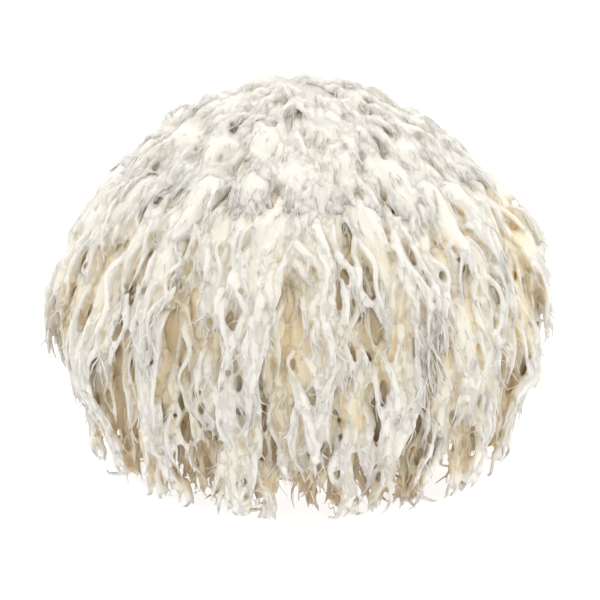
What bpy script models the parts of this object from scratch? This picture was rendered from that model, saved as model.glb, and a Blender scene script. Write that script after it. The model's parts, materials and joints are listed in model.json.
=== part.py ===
"""Lion's mane mushroom: one fruiting body, cut off flat at its foot and resting on the cut.

The mushroom grew as one piece, so it is one solid. A domed mass of flesh carries tiers of locks,
each a bundle of spines that leaves the flesh, lies down over the dome and then hangs by its own
weight. The locks that give the front its look are placed one by one, and the rest follow in tiers.
All of them are fused into the flesh, the whole is thinned to a light mesh, and the foot is cut flat.
Units are metres, +Z is up, the front faces -Y, and the origin is the middle of the cut.
"""

import math

import bmesh
import bpy
import numpy as np

# The flesh under the spines: a dome about a point inside it, blunter below than above. Toward the
# top its roundness falls by CROWN_POINT.
HEART_HEIGHT = 0.054
HALF_WIDTH = 0.0755
HALF_DEPTH = 0.0610
RISE = 0.0758
DROP = 0.0470
ROUNDNESS = 1.93
CROWN_POINT = 0.25
FLESH_SUBDIVISIONS = 5

# The foot: a short stump from under the flesh down to the cut.
FOOT_RADIUS = 0.031
FOOT_TOP_RADIUS = 0.040
FOOT_TOP = 0.022
FOOT_STOCK = 0.010
FOOT_SIDES = 28

# The locks that are placed one by one. Each row is: degrees to the right of the front, degrees down
# from the top, length, radius at the root, lift off the flesh, and lean to the right.
PLACED_LOCKS = (
    # the two lumps of the summit, and the saddle's rim
    (-25, 7, 0.014, 0.0095, 0.95, -0.3),
    (58, 14, 0.016, 0.0105, 0.90, 0.2),
    # the upper ridge, from the left shoulder to the middle
    (-66, 32, 0.024, 0.0120, 1.10, -0.1),
    (-42, 30, 0.024, 0.0105, 0.90, 0.0),
    (-18, 24, 0.024, 0.0105, 0.90, 0.1),
    (12, 22, 0.024, 0.0095, 0.70, 0.2),
    # the brow ridge, from the left over the middle to the right
    (-66, 47, 0.046, 0.0105, 0.80, -0.1),
    (-38, 41, 0.036, 0.0110, 0.90, -0.1),
    (-20, 38, 0.026, 0.0110, 0.90, 0.0),
    (-2, 34, 0.024, 0.0105, 0.90, 0.1),
    (16, 31, 0.030, 0.0105, 0.85, 0.4),
    (36, 36, 0.044, 0.0105, 0.75, 0.3),
    (50, 44, 0.050, 0.0100, 0.70, 0.1),
    # the knob, and the long lock that falls from it to the right
    (7, 40, 0.020, 0.0115, 1.00, 0.0),
    (2, 45, 0.066, 0.0105, 0.75, 0.34),
    # the broad round lock right of the middle
    (22, 45, 0.064, 0.0125, 0.85, 0.24),
    (33, 50, 0.060, 0.0100, 0.70, 0.10),
    # the forked lock left of the middle, and the long one under it
    (-21, 50, 0.036, 0.0095, 0.85, 0.30),
    (-24, 51, 0.040, 0.0090, 0.80, -0.16),
    (-14, 60, 0.058, 0.0105, 0.75, 0.05),
    (-40, 56, 0.062, 0.0105, 0.75, -0.06),
    (-54, 58, 0.058, 0.0095, 0.70, 0.04),
    # the shoulders, and the tufts that stand out at the left and right edges
    (-86, 50, 0.046, 0.0110, 0.95, -0.1),
    (86, 56, 0.050, 0.0120, 1.05, 0.1),
    (-80, 71, 0.040, 0.0090, 2.00, 0.0),
    (-88, 80, 0.036, 0.0080, 1.60, 0.1),
    (80, 68, 0.038, 0.0090, 1.60, 0.0),
    (88, 78, 0.034, 0.0080, 1.50, -0.1),
    # the longest points of the hem at the front
    (-38, 88, 0.054, 0.0078, 0.45, 0.00),
    (-15, 90, 0.055, 0.0080, 0.50, -0.02),
    (13, 90, 0.056, 0.0080, 0.50, 0.06),
    (39, 88, 0.054, 0.0078, 0.45, 0.02),
)

# The tiers that fill in around them from the crown down. Each row is: degrees from the top, locks in
# the tier, length, radius at the root, lift off the flesh.
TIERS = (
    (8, 4, 0.016, 0.0085, 0.60),
    (21, 9, 0.020, 0.0085, 0.60),
    (34, 13, 0.025, 0.0095, 0.70),
    (47, 15, 0.040, 0.0100, 0.70),
    (60, 16, 0.052, 0.0095, 0.65),
    (73, 17, 0.056, 0.0088, 0.55),
    (87, 18, 0.046, 0.0078, 0.48),
    (101, 18, 0.035, 0.0068, 0.40),
    (116, 15, 0.025, 0.0056, 0.25),
)
SPREAD_JITTER = 0.34
POLAR_JITTER = 4.0
LENGTH_JITTER = 0.24
LEAN_JITTER = 0.28
ELBOW_ROOM = 8.0
SEED = 29

# How a lock falls: the pull of its weight over its length, how far that pull leans in toward the
# middle below the heart, how near the flesh its middle line comes, and the gap to the ground.
WEIGHT = 3.0
GATHER = 0.20
CLING = 0.0030
GROUND_GAP = 0.0006

# A long lock forks into two prongs, each this much of its radius, set this far to the side of its
# middle line at the root and at the tip.
FORK_LENGTH = 0.030
PRONG_SHARE = 0.74
PRONG_ROOT_GAP = 0.45
PRONG_TIP_GAP = 0.0058
TIP_RADIUS = 0.0012
TAPER = 0.75
LOCK_STEPS = 7
LOCK_BEVEL = 1

# The light mesh that the fused mass is thinned to.
FUSE_VOXEL = 0.0011
SMOOTHING = 0.35
SMOOTHING_ROUNDS = 2
TRIANGLES = 9400
FOLD_ANGLE = math.radians(172)
FOLD_ROUNDS = 12


def unit(vectors):
    """The vectors at length one."""
    return vectors / np.linalg.norm(vectors, axis=-1, keepdims=True)


def heading(azimuth, polar):
    """Unit vectors at angles to the right of the front and angles down from the top."""
    flat = np.sin(polar)
    return np.stack([flat * np.sin(azimuth), -flat * np.cos(azimuth), np.cos(polar)], axis=-1)


def flesh_reach(way):
    """How far the flesh reaches from its heart along unit vectors."""
    height = np.where(way[..., 2] > 0, RISE, DROP)
    axes = np.stack([np.full_like(height, HALF_WIDTH), np.full_like(height, HALF_DEPTH), height], axis=-1)
    power = ROUNDNESS - CROWN_POINT * np.clip(way[..., 2:], 0, 1)
    return (np.abs(way / axes) ** power).sum(axis=-1) ** (-1 / power[..., 0])


def lock_plan():
    """Every lock as a row of azimuth, polar angle, length, radius, lift and lean, in radians and metres.

    A tier spreads its locks evenly around the dome with a little unevenness, and leaves out each
    lock that would stand within ELBOW_ROOM degrees, over the dome, of one placed by hand.
    """
    chance = np.random.default_rng(SEED)
    placed = np.array(PLACED_LOCKS)
    placed[:, :2] = np.radians(placed[:, :2])
    rows = [placed]
    taken = heading(placed[:, 0], placed[:, 1])
    for polar, count, length, radius, lift in TIERS:
        wobble = chance.uniform(-1, 1, (4, count))
        turn = chance.uniform(0, 1)
        azimuth = math.tau * (np.arange(count) + turn + SPREAD_JITTER * wobble[0]) / count
        from_top = np.radians(polar + POLAR_JITTER * wobble[1])
        size = 1 + LENGTH_JITTER * wobble[2]
        tier = np.stack(
            [
                azimuth,
                from_top,
                length * size,
                radius * np.sqrt(size),
                np.full(count, lift),
                LEAN_JITTER * wobble[3],
            ],
            axis=-1,
        )
        nearest = (heading(azimuth, from_top) @ taken.T).max(axis=1)
        rows.append(tier[nearest < math.cos(math.radians(ELBOW_ROOM))])
    return np.concatenate(rows)


def tapered(radius, along):
    """The radius of a tube some way along it, from its root at 0 to its tip at 1."""
    return TIP_RADIUS + (radius - TIP_RADIUS) * (1 - along) ** TAPER


def lock_routes(plan, steps):
    """The middle line of every lock, as an array of points, and its sideways directions.

    A lock sets off along the flesh with its lift outward and its lean to the side, and at each
    step its weight turns it downward. A point that would sink into the flesh is moved out to it,
    and one that would sink into the ground lies down on it and runs outward.
    """
    azimuth, polar, length, radius, lift, lean = plan.T
    heart = np.array([0, 0, HEART_HEIGHT])
    outward = heading(azimuth, polar)
    down = heading(azimuth, polar + math.pi / 2)
    across = np.stack([np.cos(azimuth), np.sin(azimuth), np.zeros_like(azimuth)], axis=-1)
    going = unit(outward * lift[:, None] + down + across * lean[:, None])
    place = heart + outward * (flesh_reach(outward) - CLING)[:, None]
    stride = (length / steps)[:, None]
    points = [place]
    for step in range(1, steps + 1):
        inward = unit(place * np.array([-1, -1, 0])) * GATHER * (place[:, 2:] < HEART_HEIGHT)
        going = unit(going + (inward - np.array([0, 0, 1])) * WEIGHT / steps)
        place = place + going * stride
        away = place - heart
        distance = np.linalg.norm(away, axis=1)
        reach = flesh_reach(unit(away)) + CLING
        place = np.where((distance < reach)[:, None], heart + unit(away) * reach[:, None], place)
        floor = GROUND_GAP + tapered(radius, step / steps)
        grounded = place[:, 2] < floor
        place[:, 2] = np.maximum(place[:, 2], floor)
        flat = unit(place * np.array([1, 1, 0]) + 1e-9)
        going = np.where(grounded[:, None], flat, going)
        points.append(place)
    return np.stack(points, axis=1), across


def prongs():
    """Every tube as (points, radii): one for a short lock, and two that spread for a long one."""
    plan = lock_plan()
    routes, across = lock_routes(plan, LOCK_STEPS)
    along = np.linspace(0, 1, LOCK_STEPS + 1)
    tubes = []
    for row, route, side in zip(plan, routes, across):
        length, radius = row[2], row[3]
        forked = length > FORK_LENGTH
        radii = tapered(radius * PRONG_SHARE if forked else radius, along)
        gap = radius * PRONG_ROOT_GAP * (1 - along) + PRONG_TIP_GAP * along
        for hand in (-1, 1) if forked else (0,):
            tubes.append((route + hand * gap[:, None] * side, radii))
    return tubes


def add_flesh():
    """The domed mass, from a ball whose points are moved out to the flesh's reach."""
    bpy.ops.mesh.primitive_ico_sphere_add(subdivisions=FLESH_SUBDIVISIONS, radius=1)
    flesh = bpy.context.object
    places = np.empty(3 * len(flesh.data.vertices), dtype=np.float32)
    flesh.data.vertices.foreach_get("co", places)
    way = unit(places.reshape(-1, 3).astype(float))
    places = way * flesh_reach(way)[:, None] + np.array([0, 0, HEART_HEIGHT])
    flesh.data.vertices.foreach_set("co", places.ravel().astype(np.float32))
    return flesh


def add_foot():
    """The stump, with spare stock below the ground for the flat cut."""
    bpy.ops.mesh.primitive_cone_add(
        vertices=FOOT_SIDES,
        radius1=FOOT_RADIUS,
        radius2=FOOT_TOP_RADIUS,
        depth=FOOT_TOP + FOOT_STOCK,
        location=(0, 0, (FOOT_TOP - FOOT_STOCK) / 2),
    )
    return bpy.context.object


def add_locks():
    """All the locks as tapered tubes along their routes, made a mesh with closed ends."""
    curve = bpy.data.curves.new("locks", "CURVE")
    curve.dimensions = "3D"
    curve.bevel_depth = 1.0
    curve.bevel_resolution = LOCK_BEVEL
    curve.use_fill_caps = True
    for points, radii in prongs():
        spline = curve.splines.new("POLY")
        spline.points.add(len(points) - 1)
        for point, place, radius in zip(spline.points, points, radii):
            point.co = (*place, 1)
            point.radius = radius
    tubes = bpy.data.objects.new("lock_tubes", curve)
    bpy.context.scene.collection.objects.link(tubes)
    graph = bpy.context.evaluated_depsgraph_get()
    mesh = bpy.data.meshes.new_from_object(tubes.evaluated_get(graph))
    shape = bmesh.new()
    shape.from_mesh(mesh)
    bmesh.ops.remove_doubles(shape, verts=shape.verts, dist=1e-6)
    bmesh.ops.recalc_face_normals(shape, faces=shape.faces)
    shape.to_mesh(mesh)
    shape.free()
    locks = bpy.data.objects.new("locks", mesh)
    locks.matrix_world = tubes.matrix_world
    bpy.context.scene.collection.objects.link(locks)
    bpy.data.objects.remove(tubes)
    return locks


def joined(pieces):
    """The pieces as one object, which still holds them as overlapping shells."""
    bpy.ops.object.select_all(action="DESELECT")
    for piece in pieces:
        piece.select_set(True)
    bpy.context.view_layer.objects.active = pieces[0]
    bpy.ops.object.join()
    return pieces[0]


def apply_modifiers(piece):
    """Gives the object the mesh that its modifiers make, and takes them off."""
    graph = bpy.context.evaluated_depsgraph_get()
    mesh = bpy.data.meshes.new_from_object(piece.evaluated_get(graph))
    piece.modifiers.clear()
    piece.data = mesh


def keep_largest_island(piece):
    """Drops the crumbs that fusing leaves where a lock's tip is thinner than a voxel."""
    shape = bmesh.new()
    shape.from_mesh(piece.data)
    unseen = set(shape.verts)
    islands = []
    while unseen:
        found = [unseen.pop()]
        for vertex in found:
            for edge in vertex.link_edges:
                other = edge.other_vert(vertex)
                if other in unseen:
                    unseen.remove(other)
                    found.append(other)
        islands.append(found)
    islands.sort(key=len)
    for crumb in islands[:-1]:
        bmesh.ops.delete(shape, geom=crumb, context="VERTS")
    shape.to_mesh(piece.data)
    shape.free()


def fuse(piece):
    """Melts the overlapping shells into one skin, then thins it to a light mesh."""
    remesh = piece.modifiers.new("fuse", "REMESH")
    remesh.mode = "VOXEL"
    remesh.voxel_size = FUSE_VOXEL
    smooth = piece.modifiers.new("soften", "SMOOTH")
    smooth.factor = SMOOTHING
    smooth.iterations = SMOOTHING_ROUNDS
    apply_modifiers(piece)
    keep_largest_island(piece)
    triangles = sum(len(face.vertices) - 2 for face in piece.data.polygons)
    thin = piece.modifiers.new("thin", "DECIMATE")
    thin.ratio = TRIANGLES / triangles
    thin.use_collapse_triangulate = True
    apply_modifiers(piece)
    open_folds(piece)


def open_folds(piece):
    """Relaxes the few edges where thinning has folded two faces flat against each other."""
    shape = bmesh.new()
    shape.from_mesh(piece.data)
    for _ in range(FOLD_ROUNDS):
        folded = [edge for edge in shape.edges if edge.calc_face_angle(0) > FOLD_ANGLE]
        if not folded:
            break
        corners = list({vertex for edge in folded for vertex in edge.verts})
        bmesh.ops.smooth_vert(
            shape, verts=corners, factor=0.5, use_axis_x=True, use_axis_y=True, use_axis_z=True
        )
        shape.normal_update()
    shape.to_mesh(piece.data)
    shape.free()


def cut_foot(piece, helpers):
    """Cuts the stump flat at the ground with a block below it."""
    span = 4 * HALF_WIDTH
    bpy.ops.mesh.primitive_cube_add(size=1, location=(0, 0, -span / 2))
    block = bpy.context.object
    block.name = "ground_cutter"
    block.scale = (span, span, span)
    block.hide_render = True
    block.display_type = "WIRE"
    for home in list(block.users_collection):
        home.objects.unlink(block)
    helpers.objects.link(block)
    cut = piece.modifiers.new("flat cut", "BOOLEAN")
    cut.operation = "DIFFERENCE"
    cut.object = block


def flesh_material():
    """Dry, matt, ivory flesh."""
    material = bpy.data.materials.new("mushroom flesh")
    material.use_nodes = True
    shader = material.node_tree.nodes["Principled BSDF"]
    shader.inputs["Base Color"].default_value = (0.88, 0.83, 0.73, 1)
    shader.inputs["Roughness"].default_value = 0.75
    shader.inputs["Metallic"].default_value = 0.0
    return material


def main():
    for thing in list(bpy.data.objects):
        bpy.data.objects.remove(thing)
    home = bpy.data.collections.new("lions mane mushroom")
    helpers = bpy.data.collections.new("cutters")
    for collection in (home, helpers):
        bpy.context.scene.collection.children.link(collection)

    body = joined([add_flesh(), add_foot(), add_locks()])
    body.name = "fruiting_body"
    fuse(body)
    for old in list(body.users_collection):
        old.objects.unlink(body)
    home.objects.link(body)
    cut_foot(body, helpers)
    body.data.materials.clear()
    body.data.materials.append(flesh_material())
    body.data.shade_smooth()


main()
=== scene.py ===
"""Lion's mane mushroom: its locks, spines and fleece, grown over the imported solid.

A domed mass of flesh carries tiers of locks. Each lock has a core and a bundle of strands, which
are melted together where they touch, and many strands end in slender pointed spines. Everything is
worked out with numpy as lines that set off from the flesh and fall by their own weight, and a tube
is carried along each line. Units are metres, +Z is up, the front faces -Y.
"""

import json
import math
from dataclasses import dataclass

import bpy
import numpy as np
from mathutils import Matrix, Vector

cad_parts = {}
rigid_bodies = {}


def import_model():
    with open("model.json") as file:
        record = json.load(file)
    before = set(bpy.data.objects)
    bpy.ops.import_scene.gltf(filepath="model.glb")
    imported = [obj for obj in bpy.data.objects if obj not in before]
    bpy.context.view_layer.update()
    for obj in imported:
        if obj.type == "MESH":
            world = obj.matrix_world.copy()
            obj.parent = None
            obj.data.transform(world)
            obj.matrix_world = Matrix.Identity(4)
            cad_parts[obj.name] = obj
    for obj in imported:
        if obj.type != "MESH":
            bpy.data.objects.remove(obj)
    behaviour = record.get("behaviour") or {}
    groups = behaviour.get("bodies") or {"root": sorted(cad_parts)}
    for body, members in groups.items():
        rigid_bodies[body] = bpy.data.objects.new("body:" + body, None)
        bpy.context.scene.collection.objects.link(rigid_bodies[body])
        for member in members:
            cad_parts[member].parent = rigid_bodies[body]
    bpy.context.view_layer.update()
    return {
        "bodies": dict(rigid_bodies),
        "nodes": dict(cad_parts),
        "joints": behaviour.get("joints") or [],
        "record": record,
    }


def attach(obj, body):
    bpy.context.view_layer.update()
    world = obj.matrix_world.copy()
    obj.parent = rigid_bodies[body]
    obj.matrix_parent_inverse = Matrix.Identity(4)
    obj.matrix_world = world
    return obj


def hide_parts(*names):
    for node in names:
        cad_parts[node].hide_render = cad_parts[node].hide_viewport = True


bl_info = {
    "name": "Lion's mane mushroom",
    "version": (1, 0, 0),
    "blender": (4, 5, 0),
    "location": "View3D > Sidebar > Mushroom",
    "description": "Grows the locks, spines and fleece of a lion's mane mushroom",
    "category": "Object",
}

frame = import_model()

NODE = "fruiting_body"
BODY = "root"
UP = np.array([0.0, 0.0, 1.0])
FLAT = np.array([1.0, 1.0, 0.0])

# The locks that are placed one by one. Each row is: degrees to the right of the front, degrees down
# from the top, length, radius at the root, lift off the flesh, and lean to the right.
PLACED_LOCKS = (
    # the two lumps of the summit, and the saddle's rim
    (-25, 7, 0.014, 0.0095, 0.95, -0.3),
    (58, 14, 0.016, 0.0105, 0.90, 0.2),
    # the upper ridge, from the left shoulder to the middle
    (-66, 32, 0.024, 0.0120, 1.10, -0.1),
    (-42, 30, 0.024, 0.0105, 0.90, 0.0),
    (-18, 24, 0.024, 0.0105, 0.90, 0.1),
    (12, 22, 0.024, 0.0095, 0.70, 0.2),
    # the brow ridge, from the left over the middle to the right
    (-66, 47, 0.046, 0.0105, 0.80, -0.1),
    (-38, 41, 0.036, 0.0110, 0.90, -0.1),
    (-20, 38, 0.026, 0.0110, 0.90, 0.0),
    (-2, 34, 0.024, 0.0105, 0.90, 0.1),
    (16, 31, 0.030, 0.0105, 0.85, 0.4),
    (36, 36, 0.044, 0.0105, 0.75, 0.3),
    (50, 44, 0.050, 0.0100, 0.70, 0.1),
    # the knob, and the long lock that falls from it to the right
    (7, 40, 0.020, 0.0115, 1.00, 0.0),
    (2, 45, 0.066, 0.0105, 0.75, 0.34),
    # the broad round lock right of the middle
    (22, 45, 0.064, 0.0125, 0.85, 0.24),
    (33, 50, 0.060, 0.0100, 0.70, 0.10),
    # the forked lock left of the middle, and the long one under it
    (-21, 50, 0.036, 0.0095, 0.85, 0.30),
    (-24, 51, 0.040, 0.0090, 0.80, -0.16),
    (-14, 60, 0.058, 0.0105, 0.75, 0.05),
    (-40, 56, 0.062, 0.0105, 0.75, -0.06),
    (-54, 58, 0.058, 0.0095, 0.70, 0.04),
    # the shoulders, and the tufts that stand out at the left and right edges
    (-86, 50, 0.046, 0.0110, 0.95, -0.1),
    (86, 56, 0.050, 0.0120, 1.05, 0.1),
    (-80, 71, 0.040, 0.0090, 2.00, 0.0),
    (-88, 80, 0.036, 0.0080, 1.60, 0.1),
    (80, 68, 0.038, 0.0090, 1.60, 0.0),
    (88, 78, 0.034, 0.0080, 1.50, -0.1),
    # the longest points of the hem at the front
    (-38, 88, 0.054, 0.0078, 0.45, 0.00),
    (-15, 90, 0.055, 0.0080, 0.50, -0.02),
    (13, 90, 0.056, 0.0080, 0.50, 0.06),
    (39, 88, 0.054, 0.0078, 0.45, 0.02),
)

# The tiers that fill in around them from the crown down. Each row is: degrees from the top, locks in
# the tier, length, radius at the root, lift off the flesh.
TIERS = (
    (8, 4, 0.016, 0.0085, 0.60),
    (21, 9, 0.020, 0.0085, 0.60),
    (34, 13, 0.025, 0.0095, 0.70),
    (47, 15, 0.040, 0.0100, 0.70),
    (60, 16, 0.052, 0.0095, 0.65),
    (73, 17, 0.056, 0.0088, 0.55),
    (87, 18, 0.046, 0.0078, 0.48),
    (101, 18, 0.035, 0.0068, 0.40),
    (116, 15, 0.025, 0.0056, 0.25),
)
SPREAD_JITTER = 0.34
POLAR_JITTER = 4.0
LENGTH_JITTER = 0.24
LEAN_JITTER = 0.28
ELBOW_ROOM = 8.0
LOCK_SEED = 29

# The gap between the ground and whatever hangs or lies over it, and the lowest that a mesh reaches.
GROUND_GAP = 0.0003
LOWEST = 0.0001
# What grows past the mane keeps this share of how far it sticks out.
PAST_MANE = 0.35
# Roots this far above the heart are on the crown: of locks that carry the crown's strands, of locks
# that carry no spines of their own and of the crown's piece, and of spines that carry no hairs.
CROWN_LOCKS = 0.044
CROWN_PIECE = 0.050
BROW = 0.045
# A lock that lifts more than this stands out from the mane as a tuft at the left or right edge.
TUFT_LIFT = 1.3
# This far from its root a lock has ridden up over the ones below it. Locks rooted lower than the one
# angle don't ride up, and those rooted higher than the other sink in by part of their thickness.
RIDE_UP = 0.026
NO_PILE_BELOW = math.radians(112)
SUNK_ABOVE = math.radians(48)
# A lock with a shorter core than this gets the crown's thick one.
SHORT_CORE = 0.033
# Locks that end lower than this make the hem.
HEM = 0.016
# The foot's faces lower than this are its cut.
CUT = 0.0006
# The locks' middle lines end this far above the ground, between the two.
LOCK_CLEARANCE = (0.0006, 0.0065)
# A lock this wide at its shoulder has strands of the full radius.
FULL_WIDTH = 0.0095
# A strand's tint differs from that of the one it grows from by at most this.
TINT_STEP = 0.3

# A point gets painted shade and the flesh's deeper colour from this far under the envelope on, and wholly
# after this much more.
SHADE_DEPTH_FROM = 0.0010
SHADE_DEPTH_OVER = 0.0082
# What its depth and what grows over it, between it and the light, count for in that painted shade, and how
# far off the surface the look for it starts.
DEPTH_SHARE = 0.72
COVER_SHADE_SHARE = 0.32
OFF_SURFACE = 0.0030
# How much the hollows of the melted skin add to that painted shade.
HOLLOW_SHADE_SHARE = 0.95
# The melted skin is drawn in by this share of the webbing.
DRAWN_IN = 0.9
# The grooves: how far apart, how far up and down the strand they are brushed, in how many steps, and
# how deep.
GROOVE_WIDTH = 0.0036
GROOVE_REACH = 0.0045
GROOVE_STEPS = 7
GROOVE_DEPTH = 0.0005

# How deep and shaded a surface has to look to turn cream and then tan, as painted shade and deeper colour,
# and how sharply it does.
CREAM_FROM, CREAM_SHARPNESS = 0.12, 1.9
TAN_FROM, TAN_SHARPNESS = 0.50, 2.6
# Painted shade: it looks deeper below the one height, by so much a metre. Painted light from above: it is
# paler above the other height, by at most the last number.
SHADED_BELOW, LOW_SHADE_SLOPE = 0.085, 1.4
LIT_ABOVE, TOP_LIGHT_SLOPE, TOP_LIGHT_MOST = 0.080, 16.0, 0.34

# The space that the tables of what grows where cover.
SPACE = np.array([[-0.12, -0.12, -0.02], [0.12, 0.12, 0.18]])
GOLDEN_ANGLE = math.pi * (3 - math.sqrt(5))


# Settings


def number_setting(name, description, default, **more):
    """A setting that is a plain number."""
    return bpy.props.FloatProperty(name=name, description=description, default=default, **more)


def length_setting(name, description, default):
    """A setting that is a length."""
    return number_setting(name, description, default, unit="LENGTH")


def count_setting(name, description, default):
    """A setting that is a count."""
    return bpy.props.IntProperty(name=name, description=description, default=default)


def colour_setting(name, description, default):
    """A setting that is a colour."""
    return bpy.props.FloatVectorProperty(
        name=name, description=description, default=default, subtype="COLOR", size=3
    )


class MushroomForm(bpy.types.PropertyGroup):
    """The dome of flesh under the spines."""

    heart_height: length_setting("Heart height", "Height of the point the flesh is measured from", 0.054)
    half_width: length_setting("Half width", "Reach of the flesh to the side", 0.0755)
    half_depth: length_setting("Half depth", "Reach of the flesh to the front", 0.0610)
    rise: length_setting("Rise", "Reach of the flesh upward", 0.0758)
    drop: length_setting("Drop", "Reach of the flesh downward", 0.0470)
    roundness: number_setting("Roundness", "2 is an ellipsoid, less is pointed, more is boxy", 1.93)
    crown_point: number_setting("Crown point", "How much the roundness falls toward the top", 0.25)


class MushroomGrowth(bpy.types.PropertyGroup):
    """How many strands and spines grow, how thick they are and how they fall."""

    weight: number_setting("Weight", "How strongly a lock turns downward over its length", 3.0)
    gather: number_setting("Gather", "How far the fall leans in under the heart", 0.20)
    cling: length_setting("Cling", "Gap between a lock's middle line and the flesh", 0.0030)
    pile: length_setting("Pile", "How far the top locks ride up over the ones below them", 0.0085)
    mane: length_setting("Mane", "Thickness of everything that grows on the flesh", 0.0125)
    core_share: number_setting("Core share", "A lock's melted core, as a share of its radius", 0.45)
    crown_share: number_setting("Crown share", "The same for the locks of the crown", 0.66)
    core_length: number_setting("Core length", "A lock's melted core, as a share of its length", 0.58)
    lock_width: number_setting("Lock width", "Half a shoulder's width, in radii of the lock's solid", 0.88)
    clumps: count_setting("Clumps", "Strands in a lock", 11)
    crown_clumps: count_setting("Crown clumps", "Strands in a lock of the crown", 22)
    spines: count_setting("Spines", "Spines on a lock, besides its strands' own", 4)
    clump_radius: length_setting("Clump radius", "Radius at a strand's root", 0.00130)
    spine_radius: length_setting("Spine radius", "Radius at a spine's root", 0.00125)
    tip_radius: length_setting("Tip radius", "Radius just before a spine's point", 0.00016)
    fluff: count_setting("Fluff", "Short fibres that mat the crown and the crests", 12000)
    hairs: count_setting("Hairs", "Fine curly stray fibres", 450)
    voxel: length_setting("Melt size", "Voxel size that melts cores and strands together", 0.00062)
    webbing: length_setting("Webbing", "Half the gap that is bridged between strands side by side", 0.00026)
    melted_faces: bpy.props.IntVectorProperty(
        name="Melted faces", size=6,
        description="Triangles kept in the crown and in each sector from the back left around",
        default=(150000, 60000, 105000, 140000, 105000, 60000),
    )


class MushroomColours(bpy.types.PropertyGroup):
    """The colours from the lit spines down to the cut foot; cream and tan also paint shade under other spines
    and in the hollows.
    """

    ivory: colour_setting("Ivory", "Spines in the open", (0.940, 0.908, 0.850))
    # cream is painted shade on spines under others; tan is the flesh's deeper colour and painted shade in the
    # hollows
    cream: colour_setting("Cream", "Spines under others", (0.948, 0.862, 0.715))
    tan: colour_setting("Tan", "Flesh in the hollows", (0.955, 0.795, 0.560))
    brown: colour_setting("Brown", "The foot and the flesh around it", (0.420, 0.280, 0.140))


class MushroomStage(bpy.types.PropertyGroup):
    """The camera and the studio."""

    lens: number_setting("Lens", "Focal length in millimetres", 85.0)
    distance: length_setting("Distance", "From the camera to the mushroom", 0.502)
    elevation: number_setting("Elevation", "Camera angle over the horizon", math.radians(18), subtype="ANGLE")
    aim_height: length_setting("Aim height", "Height that the camera looks at", 0.056)
    overhead: number_setting("Overhead", "Power of the top light", 0.62)
    key: number_setting("Key", "Power of the light from the right", 1.8)
    fill: number_setting("Fill", "Power of each light from the sides", 1.9)
    ceiling: number_setting("Ceiling", "Power of the wide soft light above", 50.0)
    sky: number_setting("Sky", "Strength of the light from all around", 0.62)


# Vectors and lines


def unit(vectors):
    """The vectors at length one."""
    return vectors / np.maximum(np.linalg.norm(vectors, axis=-1, keepdims=True), 1e-12)


def heading(azimuth, polar):
    """Unit vectors at angles to the right of the front and angles down from the top."""
    azimuth, polar = np.broadcast_arrays(azimuth, polar)
    flat = np.sin(polar)
    return np.stack([flat * np.sin(azimuth), -flat * np.cos(azimuth), np.cos(polar)], axis=-1)


def outlook(azimuth, polar):
    """At angles round and down: the directions outward, down the dome and to the side."""
    side = np.stack([np.cos(azimuth), np.sin(azimuth), np.zeros_like(azimuth)], axis=-1)
    return heading(azimuth, polar), heading(azimuth, polar + math.pi / 2), side


def square_to(side, going):
    """The sideways directions turned square to the lines' directions."""
    return unit(side - going * (side * going).sum(axis=-1, keepdims=True))


def outward_from(side, going, place):
    """The directions square to both, on the side that faces away from the heart."""
    out = np.cross(side, going)
    return out * np.sign((out * (place - heart())).sum(axis=-1, keepdims=True))


def way_along(points):
    """How far along its line each point is, in metres."""
    step = np.linalg.norm(np.diff(points, axis=1), axis=2)
    return np.concatenate([np.zeros((len(points), 1)), np.cumsum(step, axis=1)], axis=1)


def heart():
    """The point inside the flesh that everything is measured from."""
    return np.array([0.0, 0.0, bpy.context.scene.mushroom_form.heart_height])


def flesh_reach(way):
    """How far the flesh reaches from its heart along unit vectors.

    The surface is |x/a|^n + |y/b|^n + |z/c|^n = 1, with c one value upward and another downward, and
    with n falling toward the top.
    """
    form = bpy.context.scene.mushroom_form
    height = np.where(way[..., 2] > 0, form.rise, form.drop)
    axes = np.stack(
        [np.full_like(height, form.half_width), np.full_like(height, form.half_depth), height], axis=-1
    )
    power = form.roundness - form.crown_point * np.clip(way[..., 2:], 0, 1)
    return (np.abs(way / axes) ** power).sum(axis=-1) ** (-1 / power[..., 0])


def waves(points, size, seed, count=9):
    """Smooth noise from about -1 to 1: the mean of sine waves in random directions, each as long as size."""
    chance = np.random.default_rng(seed)
    way = unit(chance.normal(size=(count, 3)))
    stretch = chance.uniform(0.7, 1.4, count)
    phase = chance.uniform(0, math.tau, count)
    total = np.zeros(points.shape[:-1])
    for number in range(count):
        total += np.sin(points @ way[number] * (math.tau * stretch[number] / size) + phase[number])
    return total * (1.8 / count)


@dataclass
class Strands:
    """Lines with a thickness: points (n, k, 3), radii (n, k), sideways directions (n, 3), tints (n)."""

    points: np.ndarray
    radii: np.ndarray
    side: np.ndarray
    tint: np.ndarray

    def some(self, chosen):
        """The strands that are picked by a mask or an index array."""
        return Strands(self.points[chosen], self.radii[chosen], self.side[chosen], self.tint[chosen])

    def length(self):
        """How long each strand is."""
        return np.linalg.norm(np.diff(self.points, axis=1), axis=2).sum(axis=1)


def at(values, along):
    """Values kept at even steps of each line, read at one or more positions along it from 0 to 1."""
    last = values.shape[1] - 1
    place = np.clip(along * last, 0, last - 1e-6)
    low = place.astype(int)
    part = place - low
    line = np.arange(len(values)).reshape((-1,) + (1,) * (along.ndim - 1))
    if values.ndim == 3:
        part = part[..., None]
    return values[line, low] * (1 - part) + values[line, low + 1] * part


def directions(points):
    """The unit directions of lines at each of their points."""
    return unit(np.gradient(points, axis=1))


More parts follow.
